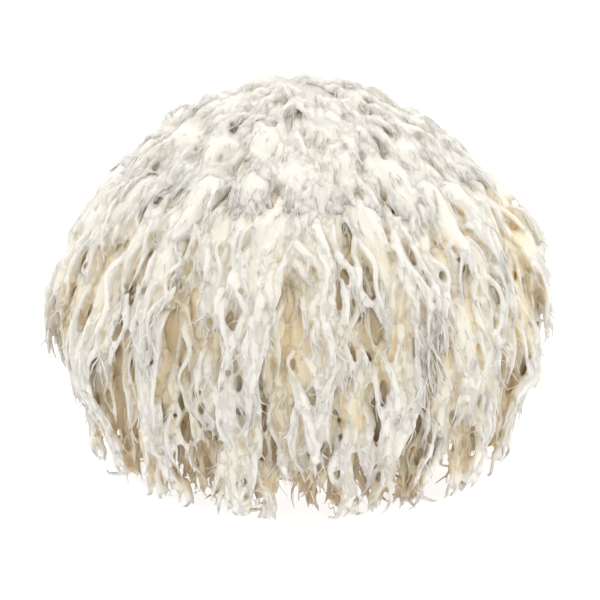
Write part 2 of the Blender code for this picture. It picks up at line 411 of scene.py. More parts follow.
def mane_limit(way):
    """How far from the heart the mane reaches along unit vectors: an ellipsoid around the flesh that
    hangs lower than it."""
    form = bpy.context.scene.mushroom_form
    mane = bpy.context.scene.mushroom_growth.mane
    height = np.where(way[..., 2] > 0, form.rise + mane * 0.62, form.drop * 1.75)
    wide = np.full_like(height, form.half_width + mane)
    deep = np.full_like(height, form.half_depth + mane)
    axes = np.stack([wide, deep, height], axis=-1)
    return ((way / axes) ** 2).sum(axis=-1) ** -0.5


def in_mane(way, distance, stray):
    """Distances from the heart along unit vectors, drawn back where they leave the mane by more than
    the stray."""
    limit = mane_limit(way) + stray
    return np.where(distance > limit, limit + (distance - limit) * PAST_MANE, distance)


def fall(start, going, length, weight, gap, radii, curl=None, stray=0.0):
    """Lines that set off from start and fall by their own weight, with as many points as radii.

    At each step the direction is turned down by the weight, and by the curl as the square of the
    way along. A point that would come nearer to the flesh than its gap is moved out to it, one that
    leaves the mane by more than its stray is drawn back most of the way, and one that would sink
    into the ground lies down and runs outward.
    """
    growth = bpy.context.scene.mushroom_growth
    middle = heart()
    steps = radii.shape[1] - 1
    stride = (length / steps)[:, None]
    weight = np.broadcast_to(weight, length.shape)[:, None] / steps
    place = start
    points = [place]
    for step in range(1, steps + 1):
        along = step / steps
        inward = unit(place * -FLAT) * growth.gather * (place[:, 2:] < middle[2])
        turn = (inward - UP) * weight
        if curl is not None:
            turn = turn + curl * (along**2 / steps)
        going = unit(going + turn)
        place = place + going * stride
        away = place - middle
        distance = np.linalg.norm(away, axis=1)
        away = unit(away)
        room = gap[:, step] if np.ndim(gap) == 2 else gap
        reach = flesh_reach(away) + room
        place = middle + away * np.maximum(in_mane(away, distance, stray), reach)[:, None]
        floor = GROUND_GAP + radii[:, step]
        grounded = place[:, 2] < floor
        place[:, 2] = np.maximum(place[:, 2], floor)
        going = np.where(grounded[:, None], unit(going * FLAT + unit(place * FLAT) * 0.6), going)
        points.append(place)
    return np.stack(points, axis=1)


def fall_clear(start, going, length, clearance, least, **falling):
    """Falling lines that end above the ground by their clearance. Those that would end lower are
    shortened, but at least this share of their length stays."""
    points = fall(start, going, length, **falling)
    low = points[..., 2] < clearance[:, None]
    kept = np.where(low.any(axis=1), low.argmax(axis=1) / (points.shape[1] - 1), 1)
    return fall(start, going, length * kept.clip(least, 1), **falling)


def settled(points, gap, radii, stray):
    """The points moved out of the flesh to their gap, back into the mane and up to the ground."""
    away = points - heart()
    distance = np.linalg.norm(away, axis=-1)
    away = unit(away)
    distance = np.maximum(in_mane(away, distance, stray), flesh_reach(away) + gap)
    points = heart() + away * distance[..., None]
    points[..., 2] = np.maximum(points[..., 2], radii + GROUND_GAP)
    return points


def tapered(root, tip, count, power):
    """Radii from root to tip along each line: the tip plus the rest times what is left to a power."""
    left = 1 - np.linspace(0, 1, count)
    return tip + (np.asarray(root)[:, None] - tip) * left**power


# What grows


def lock_plan():
    """Every lock as a row of azimuth, polar angle, length, radius, lift and lean.

    A tier spreads its locks evenly around the dome with a little unevenness, and leaves out each
    lock that would stand within ELBOW_ROOM degrees, over the dome, of one of the listed locks.
    """
    chance = np.random.default_rng(LOCK_SEED)
    placed = np.array(PLACED_LOCKS)
    placed[:, :2] = np.radians(placed[:, :2])
    rows = [placed]
    taken = heading(placed[:, 0], placed[:, 1])
    for polar, count, length, radius, lift in TIERS:
        wobble = chance.uniform(-1, 1, (4, count))
        turn = chance.uniform(0, 1)
        azimuth = math.tau * (np.arange(count) + turn + SPREAD_JITTER * wobble[0]) / count
        from_top = np.radians(polar + POLAR_JITTER * wobble[1])
        size = 1 + LENGTH_JITTER * wobble[2]
        columns = [
            azimuth,
            from_top,
            length * size,
            radius * np.sqrt(size),
            np.full(count, lift),
            LEAN_JITTER * wobble[3],
        ]
        nearest = (heading(azimuth, from_top) @ taken.T).max(axis=1)
        rows.append(np.stack(columns, axis=-1)[nearest < math.cos(math.radians(ELBOW_ROOM))])
    return np.concatenate(rows)


def grow_locks(share_of_length, steps=26):
    """The locks' middle lines, which ride up over the locks below as they leave their roots, with
    the radii of their cores. Those that would lie down on the ground end above it."""
    growth = bpy.context.scene.mushroom_growth
    azimuth, polar, length, radius, lift, lean = lock_plan().T
    length = length * share_of_length
    outward, down, side = outlook(azimuth, polar)
    going = unit(outward * lift[:, None] + down + side * lean[:, None])
    start = heart() + outward * (flesh_reach(outward) - growth.cling)[:, None]
    ridden = np.linspace(0, 1, steps + 1) * length[:, None] / RIDE_UP
    pile = growth.pile * np.clip(1 - polar / NO_PILE_BELOW, 0, 1)
    gap = growth.cling + pile[:, None] * np.clip(ridden, 0, 1) ** 1.4
    sunk = -0.002 - 0.45 * radius * (polar < SUNK_ABOVE)
    stray = np.where(lift > TUFT_LIFT, 0.003, sunk)
    share = np.where(length < SHORT_CORE, growth.crown_share, growth.core_share)
    radii = tapered(radius * share, tip=0.0012, count=steps + 1, power=0.75)
    chance = np.random.default_rng(LOCK_SEED + 1)
    clearance = chance.uniform(*LOCK_CLEARANCE, len(length))
    points = fall_clear(
        start, going, length, clearance, 0.4, weight=growth.weight, gap=gap, radii=radii, stray=stray
    )
    locks = Strands(points, radii, side, chance.uniform(0, 1, len(points)))
    return wavy(locks, height=0.0026, size=0.036, seed=17)


def thatch(seed, count, steps, *, lowest, shiver, lift, spread, root, length, stretch, radius, sizes,
           tip, gap, rising, ease, stray):
    """Strands rooted evenly on a spiral down the dome, from the top to the lowest angle in degrees.

    shiver: how many degrees a root strays up or down. lift and spread: how far a strand sets off
    outward and aside. root: how far over the flesh it starts. length: the shortest and longest, times
    its angle down in radians plus 0.35, held within the stretch. sizes: the thinnest and thickest, in
    radii. gap: how far over the flesh it comes, times a share that is rising evenly along it. ease:
    how strongly it turns downward, as a share of how a lock does.
    """
    chance = np.random.default_rng(seed)
    turn = np.arange(count) + 0.5
    depth = 1 - turn / count * (1 - math.cos(math.radians(lowest)))
    polar = np.arccos(np.clip(depth, -1, 1)) + np.radians(chance.uniform(-shiver, shiver, count))
    outward, down, side = outlook(turn * GOLDEN_ANGLE + chance.uniform(-0.1, 0.1, count), polar)
    going = unit(outward * lift + down + side * spread * chance.normal(size=(count, 1)))
    start = heart() + outward * (flesh_reach(outward) + root)[:, None]
    reach = chance.uniform(*length, count) * np.clip(0.35 + polar, *stretch)
    radii = tapered(radius * chance.uniform(*sizes, count), tip, steps + 1, 0.7)
    gaps = chance.uniform(*gap, (count, 1)) * np.clip(np.linspace(*rising, steps + 1), 0, 1)
    weight = bpy.context.scene.mushroom_growth.weight * ease
    points = fall(start, going, reach, weight, gaps, radii, None, stray)
    return Strands(points, radii, side, chance.uniform(0, 1, count))


def grow_tufts():
    """Short thick tufts that cover the crown."""
    tufts = thatch(
        seed=62, count=640, steps=10, lowest=56, shiver=2, lift=0.4, spread=0.4, root=0.001,
        length=(0.009, 0.018), stretch=(1.0, 1.0), radius=0.0022, sizes=(0.7, 1.3), tip=0.0006,
        gap=(0.0034, 0.0074), rising=(0.4, 1.6), ease=0.6, stray=-0.0025,
    )
    return wavy(tufts, height=0.0014, size=0.012, seed=19)


def grow_undergrowth():
    """Thin locks that cover the flesh between the big ones."""
    locks = thatch(
        seed=61, count=900, steps=14, lowest=118, shiver=3, lift=0.6, spread=0.35, root=-0.001,
        length=(0.016, 0.034), stretch=(0.45, 1.1), radius=0.0014, sizes=(0.6, 1.4), tip=0.0003,
        gap=(0.0046, 0.0080), rising=(0.5, 2.0), ease=1.0, stray=-0.001,
    )
    return swaying(locks, height=0.0019, sizes=(0.018, 0.036), seed=18)


def fanned(lines, per_line, chance, begin, lowest):
    """How so many strands leave each line: the line's number, how far aside and how far out each one
    stands, from -1 and from lowest to 1, and where along the stretch begin of the line it starts."""
    count = len(lines.points) * per_line
    owner = np.repeat(np.arange(len(lines.points)), per_line)
    slots = np.tile(np.arange(per_line), (len(lines.points), 1))
    aside = chance.permuted(slots, axis=1).ravel()
    aside = (aside + 0.5) / per_line * 2 - 1 + chance.uniform(-0.8, 0.8, count) / per_line
    stand = chance.uniform(lowest, 1.0, count)
    first = begin[0] + (begin[1] - begin[0]) * (slots.ravel() + chance.uniform(0, 1, count)) / per_line
    return owner, aside, stand, first


def near_tint(parents, chance):
    """A tint not far from each parent's."""
    return np.clip(parents.tint + chance.uniform(-TINT_STEP, TINT_STEP, len(parents.tint)), 0, 1)


def branch(parents, per_parent, seed, *, begin, root, sideways, outward, length, radius, tip, steps,
           curl=0.0, weight=2.2, power=0.8, full_length=0.05, shortest=0.4, stray=0.0, loose=0.12,
           clear=(0.0015, 0.010)):
    """Strands that leave each parent along its length and fan out from it.

    begin: the stretch of the parent where they start. root: how far from its middle they start, in
    parent radii. sideways and outward: how far they turn from its direction. length: the shortest
    and longest on a parent of full_length; on shorter parents they shrink with it, at most to the
    shortest share. clear: how far above the ground they end, except for one in twenty.
    """
    chance = np.random.default_rng(seed)
    owner, fan, stand, along = fanned(parents, per_parent, chance, begin, -0.25)
    count = len(owner)
    every = parents.some(owner)
    start = at(every.points, along)
    going = at(directions(every.points), along)
    side = square_to(every.side, going)
    out = outward_from(side, going, start)
    thick = at(every.radii, along)[:, None]
    spread = np.sqrt(np.clip(1 - fan**2, 0.05, 1))
    start = start + side * thick * (fan * root)[:, None] + out * thick * (stand * spread * root)[:, None]
    aside = unit(chance.normal(size=(count, 3)))
    going = unit(going + side * (sideways * fan)[:, None] + out * (outward * stand)[:, None] + aside * loose)
    scale = np.clip(every.length() / full_length, shortest, 1.15)
    reach = chance.uniform(*length, count) * scale
    away = start - heart()
    above_flesh = np.linalg.norm(away, axis=1) - flesh_reach(unit(away))
    gap = np.clip(above_flesh * 0.6, 0.0012, 0.0100)
    turning = (side * chance.normal(size=(count, 1)) + out * 0.3 + aside * 0.5) * curl
    size = radius * chance.uniform(0.72, 1.28, count) * np.sqrt(scale)
    radii = tapered(size, tip, steps + 1, power)
    clearance = np.where(chance.uniform(0, 1, count) < 1 / 20, 0, chance.uniform(*clear, count))
    points = fall_clear(
        start, going, reach, clearance, 0.3, weight=weight, gap=gap, radii=radii, curl=turning, stray=stray
    )
    return Strands(points, radii, side, near_tint(every, chance))


def bundle(locks, wide, stray, per_lock, seed, *, begin, share, radius, tip, steps, power, peel):
    """Strands that run along each lock and draw together toward its end, as wet hair does.

    Each starts in the stretch begin of its lock, follows it for a share of its length and keeps to
    one side of it. The lock is wide at its shoulder, to the given width, and a quarter of it at its
    end. The strands peel away from it by up to peel at their tips, and leave the mane by stray.
    """
    chance = np.random.default_rng(seed)
    owner, fan, stand, first = fanned(locks, per_lock, chance, begin, -0.1)
    count = len(owner)
    last = np.minimum(first + chance.uniform(*share, count), 1 - 0.30 * chance.uniform(0, 1, count) ** 1.5)
    step = np.linspace(0, 1, steps + 1)
    along = first[:, None] + (last - first)[:, None] * step
    every = locks.some(owner)
    going = at(directions(every.points), along)
    side = square_to(every.side[:, None], going)
    base = at(every.points, along)
    out = outward_from(side, going, base)
    narrow = 1 - 0.78 * np.clip((along - 0.2) / 0.8, 0, 1) ** 1.15
    reach = (0.7 + 0.3 * np.clip(along / 0.2, 0, 1)) * narrow * wide[owner][:, None]
    lifted = stand[:, None] * np.sqrt(np.clip(1 - fan**2, 0.1, 1))[:, None] * reach * 0.62
    lifted = lifted * (0.2 + 0.8 * np.clip(step * 4, 0, 1))
    lifted = lifted + peel * chance.uniform(-0.3, 1, (count, 1)) * step**2
    aside = fan[:, None] * reach + peel * chance.normal(size=(count, 1)) * step**2
    points = base + side * aside[..., None] + out * lifted[..., None]
    size = radius * chance.uniform(0.7, 1.3, count) * np.sqrt(wide[owner] / FULL_WIDTH)
    radii = tapered(size, tip, steps + 1, power) * np.clip(0.4 + step * 4, 0, 1)
    away = unit(points - heart())
    gap = np.clip((np.linalg.norm(points - heart(), axis=-1) - flesh_reach(away)) * 0.9, 0.0015, 0.012)
    points = settled(points, gap, radii, stray[owner][:, None])
    return Strands(points, radii, side[:, 0], near_tint(every, chance))


def wavy(strands, height, size, seed):
    """Shifts the strands' points sideways by smooth noise that grows from nothing at the root."""
    along = np.linspace(0, 1, strands.points.shape[1])[None, :, None]
    shift = np.stack([waves(strands.points, size, seed + axis) for axis in range(3)], axis=-1)
    return over_ground(strands, strands.points + shift * height * np.sqrt(along))


def swaying(strands, height, sizes, seed):
    """Swings each strand from side to side on its own: a sine wave along it that is nothing at the
    root, with a random phase, and a length between the two sizes."""
    chance = np.random.default_rng(seed)
    count, rings = strands.radii.shape
    phase = chance.uniform(0, math.tau, (count, 1))
    turns = way_along(strands.points) * math.tau / chance.uniform(*sizes, (count, 1))
    swing = np.sin(turns + phase) - np.sin(phase)
    swing *= height * chance.uniform(0.3, 1.3, (count, 1)) * np.clip(np.linspace(0, 3, rings), 0, 1)
    tilt = chance.uniform(-0.35, 0.35, (count, 1, 1))
    out = unit(strands.points - heart())
    return over_ground(strands, strands.points + (strands.side[:, None] + out * tilt) * swing[..., None])


def over_ground(strands, moved):
    """The strands at their moved points, lifted where they would sink into the ground."""
    moved[..., 2] = np.maximum(moved[..., 2], strands.radii + GROUND_GAP)
    return Strands(moved, strands.radii, strands.side, strands.tint)


def grow_clumps(locks, undergrowth, tufts):
    """The strands that make up every lock: they sway so that they part and meet again, which leaves
    long holes between them, and they draw together at the lock's end.

    The crown's locks carry more and shorter ones, which fan out all around them.
    """
    growth = bpy.context.scene.mushroom_growth
    high = locks.points[:, 0, 2] > heart()[2] + CROWN_LOCKS
    crown = branch(
        locks.some(high), growth.crown_clumps, seed=11, begin=(0.0, 0.95), root=0.95, sideways=0.8,
        outward=0.10, length=(0.008, 0.019), radius=growth.clump_radius * 0.65, tip=0.0003, steps=16,
        curl=1.2, power=0.8, full_length=0.036, shortest=0.45, stray=-0.0025,
    )
    fringe = branch(
        tufts, per_parent=3, seed=17, begin=(0.2, 1.0), root=0.95, sideways=0.6, outward=0.15,
        length=(0.005, 0.012), radius=0.00072, tip=0.0002, steps=16, curl=1.4, power=0.8,
        full_length=0.012, shortest=0.6, stray=-0.001,
    )
    whole = grow_locks(1.0)
    _, _, _, radius, lift, _ = lock_plan().T
    wide = radius * growth.lock_width * np.where(lift > TUFT_LIFT, 0.6, 1.0)
    stray = np.where(lift > TUFT_LIFT, 0.001, 0.0002)
    sides = bundle(
        whole.some(~high), wide[~high], stray[~high], growth.clumps, seed=12, begin=(0.0, 0.45),
        share=(0.42, 0.95), radius=growth.clump_radius, tip=0.0002, steps=16, power=0.62, peel=0.0024,
    )
    small = branch(
        undergrowth, per_parent=1, seed=13, begin=(0.1, 0.5), root=0.8, sideways=0.5, outward=0.25,
        length=(0.012, 0.026), radius=0.0011, tip=0.0003, steps=16, curl=1.2, power=0.75,
        full_length=0.024, shortest=0.6, stray=-0.0035,
    )
    small = swaying(small, height=0.0017, sizes=(0.016, 0.032), seed=23)
    clumps = wavy(joined([crown, fringe, sides]), height=0.0007, size=0.026, seed=21)
    clumps = swaying(clumps, height=0.0018, sizes=(0.020, 0.042), seed=22)
    on_crown = np.arange(len(clumps.points)) < len(crown.points) + len(fringe.points)
    return clumps.some(on_crown), clumps.some(~on_crown), small


def grow_spines(locks, matted, hanging):
    """The pointed spines: one on many of the strands, more on every lock, peeling off its surface, and
    thick points at the ends of the locks that reach the hem."""
    growth = bpy.context.scene.mushroom_growth
    clumps = joined([matted, hanging])
    share = np.where(np.arange(len(clumps.points)) < len(matted.points), 0.08, 0.45)
    chosen = np.random.default_rng(13).uniform(0, 1, len(clumps.points)) < share
    spines = branch(
        clumps.some(chosen), per_parent=1, seed=14, begin=(0.05, 0.8), root=0.7, sideways=0.75, outward=0.35,
        length=(0.006, 0.015), radius=growth.spine_radius, tip=growth.tip_radius, steps=8, curl=1.8,
        power=0.75, full_length=0.022, shortest=0.5, stray=0.0015,
    )
    below_crown = locks.some(locks.points[:, 0, 2] < heart()[2] + CROWN_PIECE)
    more = branch(
        below_crown, growth.spines, seed=15, begin=(0.1, 1.0), root=0.9, sideways=0.7, outward=0.35,
        length=(0.007, 0.018), radius=growth.spine_radius, tip=growth.tip_radius, steps=8, curl=1.8,
        power=0.75, full_length=0.025, shortest=0.5, stray=0.0015,
    )
    whole = grow_locks(1.0)
    hem = branch(
        whole.some(whole.points[:, -1, 2] < HEM), per_parent=6, seed=16, begin=(0.72, 1.0), root=0.9,
        sideways=0.45, outward=0.45, length=(0.010, 0.018), radius=0.0015, tip=0.0002, steps=8,
        curl=0.9, weight=1.1, power=0.75, full_length=0.03, shortest=0.7, stray=0.004, clear=(0.0004, 0.0045),
    )
    return wavy(joined([spines, more, hem]), height=0.0007, size=0.010, seed=31)


def ends(strands, share):
    """The last share of each strand, thinned where it begins so that it starts inside the skin."""
    first = round((strands.radii.shape[1] - 1) * (1 - share))
    radii = strands.radii[:, first:].copy()
    radii[:, 0] *= 0.3
    radii[:, 1] *= 0.8
    return Strands(strands.points[:, first:], radii, strands.side, strands.tint)


def joined(groups):
    """Several groups of strands with equally many points, as one."""
    return Strands(
        np.concatenate([group.points for group in groups]),
        np.concatenate([group.radii for group in groups]),
        np.concatenate([group.side for group in groups]),
        np.concatenate([group.tint for group in groups]),
    )


def curly(strands, height, turns, seed):
    """Winds the strands: each point circles its line, wider toward the tip."""
    chance = np.random.default_rng(seed)
    count, steps = strands.radii.shape
    along = np.linspace(0, 1, steps)[None, :]
    angle = math.tau * (chance.uniform(*turns, (count, 1)) * along + chance.uniform(0, 1, (count, 1)))
    going = directions(strands.points)
    side = square_to(strands.side[:, None], going)
    out = np.cross(going, side)
    wide = height * along * chance.uniform(0.4, 1.3, (count, 1))
    shift = side * (wide * np.cos(angle))[..., None] + out * (wide * np.sin(angle))[..., None]
    moved = strands.points + shift
    moved[..., 2] = np.maximum(moved[..., 2], 0.0004)
    return Strands(moved, strands.radii, strands.side, strands.tint)


def grow_hairs(spines):
    """Fine curly fibres that stray from the spines."""
    growth = bpy.context.scene.mushroom_growth
    chance = np.random.default_rng(51)
    below_brow = np.flatnonzero(spines.points[:, 0, 2] < heart()[2] + BROW)
    chosen = chance.choice(below_brow, growth.hairs, replace=False)
    hairs = branch(
        spines.some(chosen), per_parent=1, seed=52, begin=(0.0, 0.8), root=0.8, sideways=1.0, outward=0.9,
        length=(0.005, 0.012), radius=0.00024, tip=0.00008, steps=6, curl=4.0, weight=1.0,
        full_length=0.012, shortest=0.7,
    )
    return curly(hairs, height=0.0013, turns=(0.5, 1.6), seed=53)


def grow_fluff(mesh, portion, seed, length, radius, lift, upward=-1.0):
    """Short fibres on a mesh, a portion of all, evenly per area, laid down the dome along its surface.

    Each stands on a random triangle and sets off along the surface's downhill direction plus some
    chance and some of the surface's normal. Only triangles whose normal points up by more than
    upward take any.
    """
    chance = np.random.default_rng(seed)
    count = round(bpy.context.scene.mushroom_growth.fluff * portion)
    centre = read(mesh.polygons, "center", 3).reshape(-1, 3).astype(float)
    normal = read(mesh.polygons, "normal", 3).reshape(-1, 3).astype(float)
    area = read(mesh.polygons, "area")
    outward = unit(centre - heart())
    share = area * (normal[:, 2] > upward) * ((normal * outward).sum(axis=1) > 0.1)
    chosen = chance.choice(len(share), count, p=share / share.sum())
    centre, normal, outward = centre[chosen], normal[chosen], outward[chosen]
    downhill = outward * FLAT * 1.2 - UP * 0.6 + unit(chance.normal(size=(count, 3))) * 0.55
    downhill -= normal * (downhill * normal).sum(axis=1, keepdims=True)
    going = unit(unit(downhill) + normal * (lift * chance.uniform(0.2, 1.6, count))[:, None])
    reach = length * chance.uniform(0.6, 1.4, count)
    curl = unit(chance.normal(size=(count, 3))) * 0.9
    start = centre - normal * radius * 0.5
    radii = tapered(radius * chance.uniform(0.6, 1.4, count), tip=0.0001, count=3, power=0.8)
    points = fall(start, going, reach, weight=0.9, gap=0.0, radii=radii, curl=curl, stray=0.004)
    fibres = Strands(points, radii, unit(np.cross(going, normal)), chance.uniform(0, 1, count))
    return curly(fibres, height=0.0006, turns=(0.2, 0.8), seed=seed + 1)


# How buried a point is


class Thicket:
    """How much grows in each small cube of space, to tell the open spines from the covered ones that get
    painted shade.
    """

    cell = 0.002
    # how many spots stand for the room that a piece of a strand takes
    spots = 24
    # how far away it looks, and what the ways outward, up and to either side count for
    looks = (0.0030, 0.0052, 0.0078, 0.0108, 0.0142, 0.0180)
    shares = (0.36, 0.32, 0.16, 0.16)

    def __init__(self, groups):
        low, high = SPACE
        shape = np.ceil((high - low) / self.cell).astype(int) + 1
        amount = np.zeros(shape)
        ball = unit(np.random.default_rng(91).normal(size=(self.spots, 3)))
        ball = ball * np.linspace(0.2, 1, self.spots)[:, None] ** 0.4
        for strands in groups:
            step = np.linalg.norm(np.diff(strands.points, axis=1), axis=2)
            middle = (strands.points[:, 1:] + strands.points[:, :-1]) / 2
            radius = (strands.radii[:, 1:] + strands.radii[:, :-1]) / 2
            volume = step * math.pi * radius**2 / len(ball)
            for offset in ball:
                spot = middle + offset * radius[..., None]
                where = ((spot - low) / self.cell).astype(int).reshape(-1, 3)
                where = np.clip(where, 0, shape - 1)
                np.add.at(amount, tuple(where.T), volume.ravel())
        # a share of each cell's room, evened out over the neighbours
        amount /= self.cell**3
        for axis in range(3):
            amount = (np.roll(amount, 1, axis) + 2 * amount + np.roll(amount, -1, axis)) / 4
        self.amount = np.minimum(amount, 1.0)

    def fill(self, points):
        """How full space is at the points, from 0 to 1."""
        where = ((points - SPACE[0]) / self.cell).astype(int)
        where = np.clip(where, 0, np.array(self.amount.shape) - 1)
        return self.amount[tuple(where.T)]

    def shade_and_depth(self, points):
        """From 0 in the open to 1 where much grows between the point and the light, for the painted shade.

        Looks outward, up and aside from each point and adds what it meets, less the farther it is.
        """
        outward = unit(points - heart())
        sideways = unit(np.cross(outward, UP))
        ways = (outward, unit(outward + UP * 0.9), unit(outward + sideways), unit(outward - sideways))
        met = np.zeros(len(points))
        for way, share in zip(ways, self.shares):
            for look in self.looks:
                met += share * self.fill(points + way * look)
        return 1 - np.exp(-met * 0.75)


class Envelope:
    """How far everything together reaches from the heart in every direction, evened out over 1 cm."""

    around, down = 180, 90
    spread = 3

    def __init__(self, groups):
        far = np.zeros((self.around, self.down))
        for strands in groups:
            row, column, reach = self.cells(strands.points.reshape(-1, 3))
            place = tuple(np.floor((row, column)).astype(int))
            np.maximum.at(far, place, reach + strands.radii.ravel() * 0.7)
        # the narrow cells around the pole all reach as far as the farthest of them
        far[:, :4] = far[:, :4].max()
        for _ in range(self.spread):
            far = np.maximum.reduce([far, np.roll(far, 1, 0), np.roll(far, -1, 0)])
            far[:, 1:-1] = np.maximum.reduce([far[:, 1:-1], far[:, 2:], far[:, :-2]])
        for _ in range(self.spread * 2):
            far = (np.roll(far, 1, 0) + 2 * far + np.roll(far, -1, 0)) / 4
            far[:, 1:-1] = (far[:, :-2] + 2 * far[:, 1:-1] + far[:, 2:]) / 4
        self.far = far

    def cells(self, points):
        """Each point's place in the table, and its distance from the heart."""
        away = points - heart()
        reach = np.linalg.norm(away, axis=1)
        azimuth = np.arctan2(away[:, 0], -away[:, 1])
        polar = np.arccos(np.clip(away[:, 2] / np.maximum(reach, 1e-9), -1, 1))
        row = (azimuth + math.pi) / math.tau * (self.around - 1e-6)
        return row, polar / math.pi * (self.down - 1.001), reach

    def depth(self, points):
        """How far the points lie inside the envelope, in metres."""
        row, column, reach = self.cells(points)
        low_row, low_column = np.floor(row).astype(int), np.floor(column).astype(int)
        part_row, part_column = row - low_row, column - low_column
        next_row = (low_row + 1) % self.around
        here = self.far[low_row, low_column] * (1 - part_row) + self.far[next_row, low_column] * part_row
        below = self.far[low_row, low_column + 1] * (1 - part_row)
        below += self.far[next_row, low_column + 1] * part_row
        return here * (1 - part_column) + below * part_column - reach


def shade_and_depth_at(points, normals=0.0):
    """The painted shade and deeper colour of points in the mane, from 0 in the open to about 1: partly how
    far they are inside the envelope, and partly how much grows between them and the light."""
    depth = grown()["envelope"].depth(points)
    inside = np.clip((depth - SHADE_DEPTH_FROM) / SHADE_DEPTH_OVER, 0, 1)
    inside = inside * inside * (3 - 2 * inside)
    cover = grown()["thicket"].shade_and_depth(points + normals * OFF_SURFACE)
    return DEPTH_SHARE * inside + COVER_SHADE_SHARE * cover


class Guide:
    """Finds the nearest strand to any point, and where the point is on it."""

    cell = 0.0025
    # strands side by side get streaks of their own: each is shifted aside by this much more than the
    # one before it, and after so many it starts again
    shift, shifts = 0.0237, 97

    def __init__(self, groups, reaches):
        low, high = SPACE
        self.shape = np.ceil((high - low) / self.cell).astype(int) + 1
        frames, keys, gaps, indices, count, lines = [], [], [], [], 0, 0
        for strands, reach in zip(groups, reaches):
            going = directions(strands.points)
            side = square_to(strands.side[:, None], going)
            line = np.broadcast_to(np.arange(len(going))[:, None] + lines, strands.radii.shape)
            lines += len(going)
            frames.append((strands.points, going, side, strands.radii, way_along(strands.points), line))
            span = np.arange(-reach, reach + 1)
            offset = np.stack(np.meshgrid(span, span, span, indexing="ij"), -1).reshape(-1, 3)
            offset = offset[(offset**2).sum(axis=1) <= reach**2 + 1]
            points = strands.points.reshape(-1, 3)
            cells = ((points - low) / self.cell).astype(int)[:, None] + offset
            cells = np.clip(cells, 0, self.shape - 1)
            centre = (cells + 0.5) * self.cell + low
            gap = np.linalg.norm(centre - points[:, None], axis=2) - strands.radii.reshape(-1, 1)
            gaps.append(gap.ravel())
            keys.append(np.ravel_multi_index(tuple(cells.reshape(-1, 3).T), self.shape))
            indices.append(np.repeat(np.arange(len(points)) + count, len(offset)))
            count += len(points)
        self.points, self.going, self.side = (
            np.concatenate([frame[part].reshape(-1, 3) for frame in frames]) for part in range(3)
        )
        self.radii, self.travelled, self.line = (
            np.concatenate([frame[part].ravel() for frame in frames]) for part in range(3, 6)
        )
        key, gap, index = np.concatenate(keys), np.concatenate(gaps), np.concatenate(indices)
        order = np.lexsort((gap, key))
        key, index = key[order], index[order]
        first = np.concatenate([[True], key[1:] != key[:-1]])
        self.nearest = np.full(np.prod(self.shape), -1)
        self.nearest[key[first]] = index[first]

    def locate(self, place):
        """Across and along each point's strand, in metres, and the strand's direction there."""
        cells = ((place - SPACE[0]) / self.cell).astype(int)
        best = np.zeros(len(place), int)
        smallest = np.full(len(place), np.inf)
        span = (-1, 0, 1)
        for offset in np.stack(np.meshgrid(span, span, span, indexing="ij"), -1).reshape(-1, 3):
            cell = np.clip(cells + offset, 0, self.shape - 1)
            index = self.nearest[np.ravel_multi_index(tuple(cell.T), self.shape)]
            gap = np.linalg.norm(place - self.points[index], axis=1) - self.radii[index]
            closer = (index >= 0) & (gap < smallest)
            best[closer], smallest[closer] = index[closer], gap[closer]
        off = place - self.points[best]
        side, going = self.side[best], self.going[best]
        out = outward_from(side, going, self.points[best])
        angle = np.arctan2((off * side).sum(axis=1), (off * out).sum(axis=1))
        across = angle * np.maximum(self.radii[best], 0.001) + (self.line[best] % self.shifts) * self.shift
        return across, self.travelled[best] + (off * going).sum(axis=1), going


GROWN = {}
KINDS = ("locks", "undergrowth", "tufts", "matted", "hanging", "small", "spines")


def grown():
    """Everything that grows, worked out once."""
    if not GROWN:
        growth = bpy.context.scene.mushroom_growth
        locks, undergrowth, tufts = grow_locks(growth.core_length), grow_undergrowth(), grow_tufts()
        matted, hanging, small = grow_clumps(locks, undergrowth, tufts)
        spines = grow_spines(locks, matted, hanging)
        GROWN.update(locks=locks, undergrowth=undergrowth, tufts=tufts)
        GROWN.update(matted=matted, hanging=hanging, small=small, spines=spines)
        GROWN["hairs"] = grow_hairs(spines)
        everything = [GROWN[kind] for kind in KINDS]
        GROWN["envelope"] = Envelope(everything)
        GROWN["guide"] = Guide(everything[:-1], (4, 2, 2, 2, 2, 2))
        GROWN["thicket"] = Thicket(everything)
    return GROWN


# Meshes


def read(items, name, wide=1, kind=np.float32):
    """A property of all of a mesh's points, edges, corners or faces, as one array."""
    values = np.empty(wide * len(items), kind)
    items.foreach_get(name, values)
    return values


def mesh_from(name, points, corners, sizes):
    """A mesh from its points, its faces' corners in one row and each face's number of corners."""
    mesh = bpy.data.meshes.new(name)
    mesh.vertices.add(len(points))
    mesh.vertices.foreach_set("co", points.astype(np.float32).ravel())
    mesh.loops.add(len(corners))
    mesh.loops.foreach_set("vertex_index", corners.astype(np.int32))
    mesh.polygons.add(len(sizes))
    starts = np.concatenate([[0], np.cumsum(sizes)[:-1]])
    mesh.polygons.foreach_set("loop_start", starts.astype(np.int32))
    mesh.update(calc_edges=True)
    mesh.validate()
    return mesh


def ring_quads(rings, sides):
    """The corners of the quads between so many rings of points, and each quad's ring and side."""
    ring, side = np.meshgrid(np.arange(rings - 1), np.arange(sides), indexing="ij")
    this, after = ring * sides, (side + 1) % sides
    quads = np.stack([this + side, this + after, this + sides + after, this + sides + side], -1)
    return quads, ring, side


